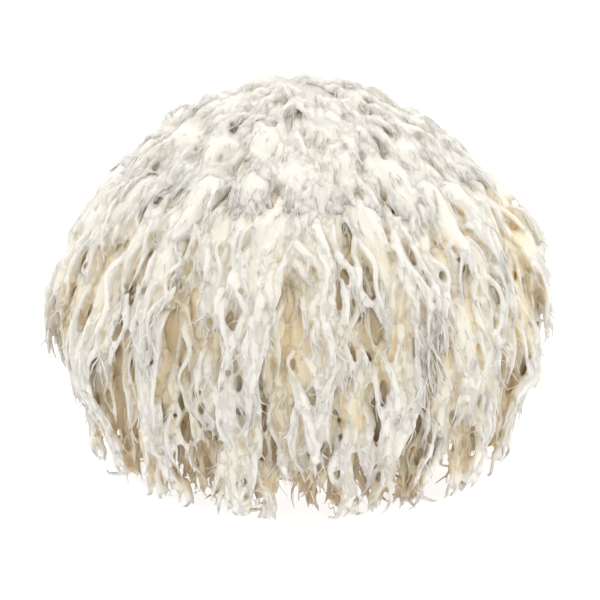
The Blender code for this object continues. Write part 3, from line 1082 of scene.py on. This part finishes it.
def map_tubes(mesh, count, rings, sides):
    """Gives each tube of a mesh its own cell of the map OFBake, around and along."""
    _, ring, side = ring_quads(rings, sides)
    one = np.arange(sides)
    angle = one * math.tau / sides
    across = np.stack([side, side + 1, side + 1, side], -1) / sides
    along = np.stack([ring, ring, ring + 1, ring + 1], -1) / rings
    at_tip = np.stack([one, one + 1, one + 0.5], -1) / sides
    tip_along = np.stack([np.full(sides, (rings - 1) / rings)] * 2 + [np.ones(sides)], -1)
    cell_u = np.concatenate([across.ravel(), at_tip.ravel(), 0.5 + 0.3 * np.cos(angle[::-1])])
    cell_v = np.concatenate([
        0.08 + 0.9 * along.ravel(), 0.08 + 0.9 * tip_along.ravel(), 0.035 + 0.03 * np.sin(angle[::-1])
    ])
    grid = math.ceil(math.sqrt(count))
    number = np.arange(count)[:, None]
    u = (number % grid + 0.04 + 0.92 * cell_u) / grid
    v = (number // grid + 0.02 + 0.96 * cell_v) / grid
    layer = mesh.uv_layers.new(name="OFBake")
    layer.uv.foreach_set("vector", np.stack([u, v], -1).astype(np.float32).ravel())


def tube_mesh(name, strands, sides, flatness=0.72):
    """Tubes carried along the strands, each closed by a cap at its root and a point at its tip.

    Around each point of a line, the ring is point + r (cos a side + flatness sin a out), with the
    radius r shrinking along the line.
    """
    points, radii = strands.points, strands.radii
    count, rings = radii.shape
    going = directions(points)
    side = square_to(strands.side[:, None], going)
    out = np.cross(going, side)
    angle = np.arange(sides) * math.tau / sides
    around = side[:, :, None] * np.cos(angle)[:, None] + out[:, :, None] * np.sin(angle)[:, None] * flatness
    ring = points[:, :, None] + around * radii[:, :, None, None]
    apex = points[:, -1] + going[:, -1] * radii[:, -1, None] * 2.0
    own = rings * sides + 1
    verts = np.concatenate([ring.reshape(count, -1, 3), apex[:, None]], axis=1).reshape(-1, 3)
    verts[:, 2] = np.maximum(verts[:, 2], LOWEST)

    first = (np.arange(count) * own)[:, None, None]
    quads = (ring_quads(rings, sides)[0].reshape(1, -1, 4) + first).reshape(count, -1)
    last = (rings - 1) * sides
    one = np.arange(sides)
    point = np.stack([last + one, last + (one + 1) % sides, np.full(sides, own - 1)], -1)
    tips = (point.reshape(1, -1, 3) + first).reshape(count, -1)
    caps = (one[::-1][None] + first[:, 0]).reshape(count, -1)
    corners = np.concatenate([quads, tips, caps], axis=1).ravel()
    sizes = np.tile(np.concatenate([np.full((rings - 1) * sides, 4), np.full(sides, 3), [sides]]), count)
    mesh = mesh_from(name, verts, corners, sizes)
    map_tubes(mesh, count, rings, sides)
    tint = np.repeat(strands.tint, own)
    step = np.concatenate([np.repeat(np.arange(rings) / (rings - 1), sides), [1.0]])
    set_attribute(mesh, "tint", tint)
    set_attribute(mesh, "along", np.tile(step, count))
    # painted shade from depth and cover from the light
    set_attribute(mesh, "shade_and_depth", shade_and_depth_at(verts))
    return mesh


def set_attribute(mesh, name, values):
    """A number for every vertex, for the material to read."""
    mesh.attributes.new(name, "FLOAT", "POINT").data.foreach_set("value", values.astype(np.float32))


def add_piece(name, mesh, material):
    """Places a mesh in the scene as a piece of the mushroom that stands for its solid."""
    piece = bpy.data.objects.new(name, mesh)
    bpy.context.scene.collection.objects.link(piece)
    mesh.materials.clear()
    mesh.materials.append(material)
    mesh.shade_smooth()
    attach(piece, BODY)
    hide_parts(NODE)
    return piece


def merged(name, meshes):
    """All the meshes' points and faces in one mesh, which takes their place."""
    points, corners, sizes, offset = [], [], [], 0
    for mesh in meshes:
        points.append(read(mesh.vertices, "co", 3).reshape(-1, 3))
        corners.append(read(mesh.loops, "vertex_index", 1, np.int32) + offset)
        sizes.append(read(mesh.polygons, "loop_total", 1, np.int32))
        offset += len(mesh.vertices)
        bpy.data.meshes.remove(mesh)
    return mesh_from(name, np.concatenate(points), np.concatenate(corners), np.concatenate(sizes))


def melted(name, groups, voxel, faces):
    """One skin over all the tubes of the groups, thinned to so many faces.

    The tubes are first made thicker by the webbing, then melted where they touch, and then the skin
    is drawn in again by as much. What lies closer than twice the webbing stays bridged, which gives
    the webs and rounded forks between strands.
    """
    webbing = bpy.context.scene.mushroom_growth.webbing
    swollen = [Strands(group.points, group.radii + webbing, group.side, group.tint) for group in groups]
    tubes = [tube_mesh(name, strands, sides=8) for strands in swollen if len(strands.points)]
    holder = bpy.data.objects.new(name, merged(name, tubes))
    bpy.context.scene.collection.objects.link(holder)
    melt = holder.modifiers.new("melt", "REMESH")
    melt.mode = "VOXEL"
    melt.voxel_size = voxel
    soften = holder.modifiers.new("soften", "SMOOTH")
    soften.factor = 0.5
    soften.iterations = 3
    skin = applied(holder)
    holder.modifiers.clear()
    place, normal = mesh_arrays(skin)
    place -= normal * (webbing * DRAWN_IN)
    place[:, 2] = np.maximum(place[:, 2], LOWEST)
    skin.vertices.foreach_set("co", place.astype(np.float32).ravel())
    skin.update()
    groove(skin)
    holder.data = skin
    triangles = len(skin.loops) - 2 * len(skin.polygons)
    if triangles > faces:
        thin = holder.modifiers.new("thin", "DECIMATE")
        thin.ratio = faces / triangles
        skin = applied(holder)
    bpy.data.objects.remove(holder)
    place, normal = mesh_arrays(skin)
    # painted shade from depth, cover from the light and the skin's hollows
    set_attribute(skin, "shade_and_depth", shade_and_depth_at(place, normal) + hollow(skin) * HOLLOW_SHADE_SHARE)
    set_attribute(skin, "tint", 0.5 + 0.5 * waves(place, size=0.02, seed=71))
    across, along, _ = grown()["guide"].locate(place)
    set_attribute(skin, "across", across)
    set_attribute(skin, "along", along)
    skin.name = name
    return skin


def applied(holder):
    """The object's mesh with its modifiers applied."""
    return bpy.data.meshes.new_from_object(holder.evaluated_get(bpy.context.evaluated_depsgraph_get()))


def mesh_arrays(mesh):
    """The mesh's points and their normals."""
    place, normal = read(mesh.vertices, "co", 3), read(mesh.vertex_normals, "vector", 3)
    return place.reshape(-1, 3).astype(float), normal.reshape(-1, 3).astype(float)


def hollow(mesh, rounds=2):
    """How hollow the surface is at each point: the mean rise of its neighbours over its tangent
    plane, per distance, averaged over its neighbours again for so many rounds."""
    place, normal = mesh_arrays(mesh)
    edges = read(mesh.edges, "vertices", 2, np.int32).reshape(-1, 2)
    first, second = np.concatenate([edges, edges[:, ::-1]]).T
    way = unit(place[second] - place[first])
    count = np.bincount(first, minlength=len(place)).clip(1)
    rise = np.bincount(first, (way * normal[first]).sum(axis=1), len(place)) / count
    for _ in range(rounds):
        rise = 0.5 * rise + 0.5 * np.bincount(first, rise[second], len(place)) / count
    return rise


def groove(mesh):
    """Cuts fine grooves along the strands: moves points along their normals by noise that is brushed
    along the strand there, which is its mean over a short way up and down the strand."""
    place, normal = mesh_arrays(mesh)
    _, _, going = grown()["guide"].locate(place)
    brushed = np.zeros(len(place))
    for way in np.linspace(-GROOVE_REACH, GROOVE_REACH, GROOVE_STEPS):
        brushed += waves(place + going * way, size=GROOVE_WIDTH, seed=73, count=14)
    place += normal * (brushed / GROOVE_STEPS * GROOVE_DEPTH)[:, None]
    mesh.vertices.foreach_set("co", place.astype(np.float32).ravel())
    mesh.update()


def sector_of(root, sectors):
    """Which sector around the dome each root stands in, from 0."""
    azimuth = np.arctan2(root[:, 0], -root[:, 1])
    return np.floor((azimuth + math.pi) / math.tau * sectors).astype(int) % sectors


# Materials


class Value:
    """A number that varies over the surface. Arithmetic on it adds Math nodes."""

    def __init__(self, tree, socket):
        self.tree = tree
        self.socket = socket

    def math(self, operation, *others, clamp=False):
        """Adds a Math node on this number and the others."""
        node = self.tree.nodes.new("ShaderNodeMath")
        node.operation = operation
        node.use_clamp = clamp
        for slot, value in zip(node.inputs, (self, *others)):
            if isinstance(value, Value):
                self.tree.links.new(value.socket, slot)
            else:
                slot.default_value = value
        return Value(self.tree, node.outputs[0])

    def reflected(self, operation, other):
        """The same with a plain number before this one."""
        node = self.tree.nodes.new("ShaderNodeMath")
        node.operation = operation
        node.inputs[0].default_value = other
        self.tree.links.new(self.socket, node.inputs[1])
        return Value(self.tree, node.outputs[0])

    def __add__(self, other):
        return self.math("ADD", other)

    def __radd__(self, other):
        return self.reflected("ADD", other)

    def __sub__(self, other):
        return self.math("SUBTRACT", other)

    def __rsub__(self, other):
        return self.reflected("SUBTRACT", other)

    def __mul__(self, other):
        return self.math("MULTIPLY", other)

    def __rmul__(self, other):
        return self.reflected("MULTIPLY", other)

    def clamped(self):
        """The number held between 0 and 1."""
        return self.math("ADD", 0.0, clamp=True)


class Recipe:
    """A material being written: its tree, its shader and ways to add nodes."""

    def __init__(self, name):
        self.material = bpy.data.materials.new(name)
        self.material.use_nodes = True
        self.tree = self.material.node_tree
        self.shader = self.tree.nodes["Principled BSDF"]

    def node(self, kind, settings=None, inputs=None, output=0):
        """Adds a node: its settings first, then the values or links of its sockets."""
        node = self.tree.nodes.new(kind)
        for key, value in (settings or {}).items():
            setattr(node, key, value)
        for key, value in (inputs or {}).items():
            if isinstance(value, Value):
                self.tree.links.new(value.socket, node.inputs[key])
            else:
                node.inputs[key].default_value = value
        return Value(self.tree, node.outputs[output])

    def attribute(self, name):
        """A number that the mesh keeps for every vertex."""
        return self.node("ShaderNodeAttribute", {"attribute_name": name}, output="Fac")

    def mix(self, factor, first, second):
        """A colour between two."""
        colours = [value if isinstance(value, Value) else (*value, 1.0) for value in (first, second)]
        settings = {"data_type": "RGBA", "clamp_factor": True}
        return self.node("ShaderNodeMix", settings, {0: factor, 6: colours[0], 7: colours[1]}, output=2)

    def vector(self, operation, first, second=(0, 0, 0), output=0):
        """Vector Math on two vectors."""
        kind, operands = {"operation": operation}, {0: first, 1: second}
        return self.node("ShaderNodeVectorMath", kind, operands, output=output)

    def noise(self, place, scale, detail=2.0, roughness=0.55):
        """Noise from 0 to 1 at so many features a metre."""
        return self.node(
            "ShaderNodeTexNoise", None,
            {"Vector": place, "Scale": scale, "Detail": detail, "Roughness": roughness},
        )

    def set(self, **values):
        """Sets or links the shader's sockets, named with underscores for spaces."""
        for key, value in values.items():
            slot = self.shader.inputs[key.replace("_", " ")]
            if isinstance(value, Value):
                self.tree.links.new(value.socket, slot)
            else:
                slot.default_value = value


def spine_material(name, shade, own_map, softness=0.0030):
    """Ivory fibres with painted shade: they turn cream and tan where they lie deep, under other strands or in
    hollows, lower down and toward their roots, which partly stands for the flesh's deeper colour, and are
    paler near the top as painted light. The shade adds to the painted shade. Streaks run along them. Light
    spreads inside them over the softness."""
    colours = bpy.context.scene.mushroom_colours
    recipe = Recipe(name)
    place = recipe.node("ShaderNodeTexCoord", output="Object")
    shade_and_depth = recipe.attribute("shade_and_depth")
    tint = recipe.attribute("tint")
    patch = recipe.noise(place, scale=45.0, detail=3.0)
    fine = recipe.noise(place, scale=260.0, detail=2.0)
    # how deep the surface looks, which paints shade and the flesh's deeper colour: as deep and as covered
    # from the light as it is, uneven by patches, tints and grain
    depth = shade_and_depth * 1.15 + (patch - 0.5) * 0.14 + (tint - 0.5) * 0.10 + (fine - 0.5) * 0.14 + shade
    # painted shade lower down and painted light near the top, as the light falls from above
    height = recipe.node("ShaderNodeSeparateXYZ", None, {0: place}, output=2)
    depth = depth + ((SHADED_BELOW - height) * LOW_SHADE_SLOPE).clamped()
    depth = depth - ((height - LIT_ABOVE) * TOP_LIGHT_SLOPE).clamped() * TOP_LIGHT_MOST
    # painted shade at the roots, which lie deep among the others, and paler tips
    if own_map:
        depth = depth + (0.5 - recipe.attribute("along")) * 0.30
    ivory = recipe.mix(((depth - CREAM_FROM) * CREAM_SHARPNESS).clamped(), colours.ivory, colours.cream)
    tanned = recipe.mix(((depth - TAN_FROM) * TAN_SHARPNESS).clamped(), ivory, colours.tan)
    # brown only near the ground, and only where it is deep
    low = ((0.016 - height) * 55.0).clamped() * ((depth - 0.35) * 3.0).clamped()
    foot = recipe.mix(low, tanned, colours.brown)
    # streaks along the tubes of the map, or along the strand that the surface belongs to
    if own_map:
        map_place = recipe.node("ShaderNodeUVMap", {"uv_map": "OFBake"})
        streak_place = recipe.vector("MULTIPLY", map_place, (420.0, 60.0, 0.0))
        streak = recipe.noise(streak_place, scale=1.0, detail=2.0)
        depth_of_bump = 0.00010
    else:
        depth_of_bump = 0.0007
        lock_place = recipe.node(
            "ShaderNodeCombineXYZ", None,
            {0: recipe.attribute("across"), 1: recipe.attribute("along") * 0.10},
        )
        streak = recipe.noise(lock_place, scale=1150.0, detail=4.0, roughness=0.6)
    streaked = recipe.mix(((0.52 - streak) * 5.0).clamped() * 0.50, foot, colours.cream)
    bump = recipe.node(
        "ShaderNodeBump", None,
        {"Strength": 0.85, "Distance": depth_of_bump, "Height": streak},
    )
    recipe.set(
        Base_Color=streaked,
        Roughness=0.62 + (fine - 0.5) * 0.2,
        Normal=bump,
        Subsurface_Weight=0.8,
        Subsurface_Radius=(1.0, 1.0, 0.95),
        Subsurface_Scale=0.0012 if own_map else softness,
        Specular_IOR_Level=0.3,
        Sheen_Weight=0.12,
        Sheen_Roughness=0.6,
    )
    return recipe.material


def cut_material():
    """The cut foot: cream flesh inside, darker toward its rim, with fibrous pores."""
    colours = bpy.context.scene.mushroom_colours
    recipe = Recipe("cut_flesh")
    place = recipe.node("ShaderNodeTexCoord", output="Object")
    fibres = recipe.noise(place, scale=700.0, detail=3.0)
    patch = recipe.noise(place, scale=60.0, detail=3.0)
    radius = recipe.vector("LENGTH", recipe.vector("MULTIPLY", place, (1, 1, 0)), output=1)
    rim = ((radius - 0.021) * 110.0 + (patch - 0.5) * 0.8).clamped()
    flesh = recipe.mix((patch * 0.7).clamped(), colours.cream, colours.tan)
    bump = recipe.node("ShaderNodeBump", None, {"Strength": 0.5, "Distance": 0.0006, "Height": fibres})
    recipe.set(
        Base_Color=recipe.mix(rim * 0.75, flesh, colours.brown),
        Roughness=0.7 + (fibres - 0.5) * 0.2,
        Normal=bump,
        Specular_IOR_Level=0.3,
    )
    return recipe.material


# The pieces


def flesh_mesh():
    """The dome of flesh down to its flat cut.

    A point at an angle round and an angle down is the heart plus the reach of the flesh along it,
    lifted by smooth noise. Below the dome the rows draw in to the foot and end in a flat disc.
    """
    around, rows = 96, 48
    azimuth = np.arange(around) * math.tau / around
    polar = np.radians(np.linspace(0.8, 146, rows))
    way = heading(azimuth[None, :], polar[:, None])
    raised = 0.0052 - 0.0010 * np.clip((math.radians(68) - polar) / 0.5, 0, 1)
    surface = heart() + way * (flesh_reach(way) + raised[:, None])[..., None]
    lumps = 0.0013 * waves(surface, size=0.012, seed=81) + 0.0007 * waves(surface, size=0.004, seed=82)
    surface += way * lumps[..., None]
    neck_radius = np.array([0.036, 0.0345, 0.0335, 0.0325, 0.0315, 0.0312])
    neck_height = np.array([0.0105, 0.0080, 0.0055, 0.0030, 0.0010, 0.0])
    level = np.stack([np.sin(azimuth), -np.cos(azimuth), np.zeros(around)], -1)
    ragged = 1 + 0.03 * waves(level * 0.04, size=0.014, seed=83)
    neck = level * (neck_radius[:, None] * ragged)[..., None] + UP * neck_height[:, None, None]
    disc_radius = np.array([0.0300, 0.024, 0.016, 0.008, 0.002])
    disc = level * (disc_radius[:, None] * ragged)[..., None]
    grid = np.concatenate([surface, neck, disc])
    total = len(grid)
    top, bottom = heart() + UP * flesh_reach(UP), np.zeros(3)
    verts = np.concatenate([grid.reshape(-1, 3), top[None], bottom[None]])
    quads = ring_quads(total, around)[0][..., [0, 3, 2, 1]]
    one = np.arange(around)
    crown = np.stack([np.full(around, total * around), one, (one + 1) % around], -1)
    last = (total - 1) * around
    base = np.stack([np.full(around, total * around + 1), last + (one + 1) % around, last + one], -1)
    corners = np.concatenate([quads.ravel(), crown.ravel(), base.ravel()])
    sizes = np.concatenate([np.full(quads.shape[0] * around, 4), np.full(2 * around, 3)])
    mesh = mesh_from("flesh", verts, corners, sizes)
    # painted shade: the flesh under the locks is darker, except near its top
    low = np.clip((0.115 - verts[:, 2]) / 0.02, 0, 1)
    set_attribute(mesh, "shade_and_depth", np.clip(0.20 * low + shade_and_depth_at(verts), 0, 1))
    set_attribute(mesh, "tint", 0.5 + 0.5 * waves(verts, size=0.02, seed=84))
    set_attribute(mesh, "across", np.arctan2(verts[:, 0], -verts[:, 1]) * 0.07)
    set_attribute(mesh, "along", verts[:, 2])
    return mesh


class MUSHROOM_OT_flesh(bpy.types.Operator):
    """Build the flesh under the locks, down to the flat cut of its foot"""

    bl_idname = "mushroom.flesh"
    bl_label = "Flesh and foot"

    def execute(self, context):
        mesh = flesh_mesh()
        add_piece("flesh", mesh, spine_material("deep_flesh", shade=0.0, own_map=False))
        mesh.materials.append(cut_material())
        height = read(mesh.polygons, "center", 3)[2::3]
        mesh.polygons.foreach_set("material_index", (height < CUT).astype(np.int32))
        return {"FINISHED"}


class MUSHROOM_OT_fleece(bpy.types.Operator):
    """Build the locks and clumps, melted together, one piece for the crown and one for each sector"""

    bl_idname = "mushroom.fleece"
    bl_label = "Melted fleece"
    sectors = 5

    def execute(self, context):
        growth = context.scene.mushroom_growth
        hanging = spine_material("fleece", shade=0.0, own_map=False)
        # the crown's fleece gets less painted shade, as light falls on it from above
        matted = spine_material("crown_fleece", shade=-0.12, own_map=False, softness=0.0045)
        groups = [grown()[kind] for kind in KINDS]
        owners = [group.points[:, 0] for group in groups]
        for number in range(-1, self.sectors):
            name = f"fleece_side_{number + 1}" if number >= 0 else "fleece_crown"
            strands = [group.some(self.belongs(root, number)) for group, root in zip(groups, owners)]
            faces = growth.melted_faces[number + 1]
            add_piece(name, melted(name, strands, growth.voxel, faces), hanging if number >= 0 else matted)
        return {"FINISHED"}

    def belongs(self, root, number):
        """Whether roots stand on the crown, which is number -1, or below it in a sector."""
        crown = root[:, 2] > heart()[2] + CROWN_PIECE
        return crown if number < 0 else ~crown & (sector_of(root, self.sectors) == number)


class MUSHROOM_OT_spines(bpy.types.Operator):
    """Build the pointed spines, one piece for each quarter of the dome"""

    bl_idname = "mushroom.spines"
    bl_label = "Spines"
    sectors = 4

    def execute(self, context):
        material = spine_material("spines", shade=0.0, own_map=True)
        shares = {"hanging": 4 / 16, "small": 4 / 16, "spines": 4 / 8}
        spines = joined([ends(grown()[kind], share) for kind, share in shares.items()])
        sector = sector_of(spines.points[:, 0], self.sectors)
        for number in range(self.sectors):
            name = f"spines_{number + 1}"
            add_piece(name, tube_mesh(name, spines.some(sector == number), sides=3), material)
        return {"FINISHED"}


class MUSHROOM_OT_fluff(bpy.types.Operator):
    """Build the short matted fibres of the crown"""

    bl_idname = "mushroom.fluff"
    bl_label = "Crown and side fluff"
    # a sector's number, its portion of the fibres, and how far up a face must point to take any
    sides = ((2, 0.10, 0.0), (3, 0.16, 0.0), (4, 0.10, 0.0), (1, 0.02, 0.4), (5, 0.02, 0.4))

    def execute(self, context):
        material = spine_material("fluff", shade=-0.10, own_map=True)
        crown, flesh = (bpy.data.objects[name].data for name in ("fleece_crown", "flesh"))
        matted = joined([
            grow_fluff(crown, 0.54, seed=65, length=0.0056, radius=0.00028, lift=0.16),
            grow_fluff(flesh, 0.08, seed=64, length=0.0060, radius=0.00032, lift=0.22, upward=0.55),
        ])
        on_sides = []
        for seed, (number, portion, steep) in enumerate(self.sides, 66):
            side = bpy.data.objects[f"fleece_side_{number}"].data
            fibres = grow_fluff(side, portion, seed, length=0.0060, radius=0.00026, lift=0.12, upward=steep)
            on_sides.append(fibres)
        for name, fluff in (("crown_fluff", matted), ("side_fluff", joined(on_sides))):
            add_piece(name, tube_mesh(name, fluff, sides=3, flatness=0.6), material)
        return {"FINISHED"}


class MUSHROOM_OT_hairs(bpy.types.Operator):
    """Build the fine curly fibres that stray from the spines"""

    bl_idname = "mushroom.hairs"
    bl_label = "Stray hairs"

    def execute(self, context):
        mesh = tube_mesh("stray_hairs", grown()["hairs"], sides=3, flatness=1.0)
        add_piece("stray_hairs", mesh, spine_material("hairs", shade=-0.05, own_map=True))
        return {"FINISHED"}


class MUSHROOM_OT_stage(bpy.types.Operator):
    """Set the floor, the soft lights, the white surroundings and the camera"""

    bl_idname = "mushroom.stage"
    bl_label = "Studio and camera"

    def area(self, name, place, size, power, colour=(1, 1, 1)):
        """A square soft light that faces the mushroom."""
        light = bpy.data.lights.new(name, "AREA")
        light.shape = "SQUARE"
        light.size = size
        light.energy = power
        light.color = colour
        lamp = bpy.data.objects.new(name, light)
        lamp.location = place
        lamp.rotation_euler = (Vector((0, 0, 0.06)) - Vector(place)).to_track_quat("-Z", "Y").to_euler()
        bpy.context.scene.collection.objects.link(lamp)

    def add_floor(self):
        """The plain floor, which glows so that it stays nearly white around the shadow."""
        bpy.ops.mesh.primitive_plane_add(size=14)
        floor = bpy.context.object
        floor.name = "studio_floor"
        recipe = Recipe("studio_floor")
        recipe.set(
            Base_Color=(0.35, 0.35, 0.35, 1), Roughness=0.9, Specular_IOR_Level=0.1,
            Emission_Color=(1, 1, 1, 1), Emission_Strength=0.82,
        )
        floor.data.materials.append(recipe.material)

    def add_lights(self, stage):
        """A wide bluish light far above, a small one overhead, and soft ones all round."""
        bluish = (0.975, 0.99, 1.0)
        self.area("ceiling", place=(0.0, 0.2, 2.3), size=4.0, power=stage.ceiling, colour=bluish)
        self.area("overhead", place=(0.10, -0.15, 1.10), size=1.1, power=stage.overhead)
        self.area("key", place=(0.75, -0.75, 0.65), size=0.6, power=stage.key)
        self.area("fill", place=(-1.3, -0.5, 0.45), size=1.0, power=stage.fill)
        self.area("left_rim", place=(-1.3, 0.35, 0.6), size=1.0, power=stage.fill)
        self.area("right_rim", place=(1.3, 0.35, 0.6), size=1.0, power=stage.fill)

    def add_surroundings(self, stage):
        """The warm white that shines in from everywhere."""
        world = bpy.data.worlds.new("white_studio")
        world.use_nodes = True
        background = world.node_tree.nodes["Background"]
        background.inputs["Color"].default_value = (1.0, 0.95, 0.87, 1)
        background.inputs["Strength"].default_value = stage.sky
        bpy.context.scene.world = world
        bpy.context.scene.view_settings.view_transform = "Standard"

    def add_camera(self, stage):
        """The camera at the photo's angle, in front of the mushroom."""
        camera = bpy.data.cameras.new("photo_camera")
        camera.lens = stage.lens
        camera.sensor_width = 36.0
        viewer = bpy.data.objects.new("photo_camera", camera)
        back = Vector((0, -math.cos(stage.elevation), math.sin(stage.elevation)))
        viewer.location = Vector((0, 0, stage.aim_height)) + back * stage.distance
        viewer.rotation_euler = (-back).to_track_quat("-Z", "Y").to_euler()
        bpy.context.scene.collection.objects.link(viewer)
        bpy.context.scene.camera = viewer

    def execute(self, context):
        stage = context.scene.mushroom_stage
        self.add_floor()
        self.add_lights(stage)
        self.add_surroundings(stage)
        self.add_camera(stage)
        return {"FINISHED"}


class MUSHROOM_PT_panel(bpy.types.Panel):
    """Lists the mushroom's pieces in the sidebar"""

    bl_label = "Lion's mane mushroom"
    bl_idname = "MUSHROOM_PT_panel"
    bl_space_type = "VIEW_3D"
    bl_region_type = "UI"
    bl_category = "Mushroom"

    def draw(self, context):
        for operator in OPERATORS:
            self.layout.operator(operator.bl_idname)


SETTINGS = {
    "mushroom_form": MushroomForm,
    "mushroom_growth": MushroomGrowth,
    "mushroom_colours": MushroomColours,
    "mushroom_stage": MushroomStage,
}
OPERATORS = (
    MUSHROOM_OT_stage,
    MUSHROOM_OT_flesh,
    MUSHROOM_OT_fleece,
    MUSHROOM_OT_spines,
    MUSHROOM_OT_fluff,
    MUSHROOM_OT_hairs,
)


def register():
    """Adds the settings, the operators and the panel to Blender."""
    for name, group in SETTINGS.items():
        bpy.utils.register_class(group)
        setattr(bpy.types.Scene, name, bpy.props.PointerProperty(type=group))
    for operator in OPERATORS:
        bpy.utils.register_class(operator)
    bpy.utils.register_class(MUSHROOM_PT_panel)


def unregister():
    """Takes them away again, last first."""
    bpy.utils.unregister_class(MUSHROOM_PT_panel)
    for operator in reversed(OPERATORS):
        bpy.utils.unregister_class(operator)
    for name, group in reversed(SETTINGS.items()):
        delattr(bpy.types.Scene, name)
        bpy.utils.unregister_class(group)


def main():
    """Builds the studio and every piece."""
    register()
    bpy.ops.mushroom.stage()
    bpy.ops.mushroom.flesh()
    bpy.ops.mushroom.fleece()
    bpy.ops.mushroom.spines()
    bpy.ops.mushroom.fluff()
    bpy.ops.mushroom.hairs()


if __name__ == "__main__":
    main()
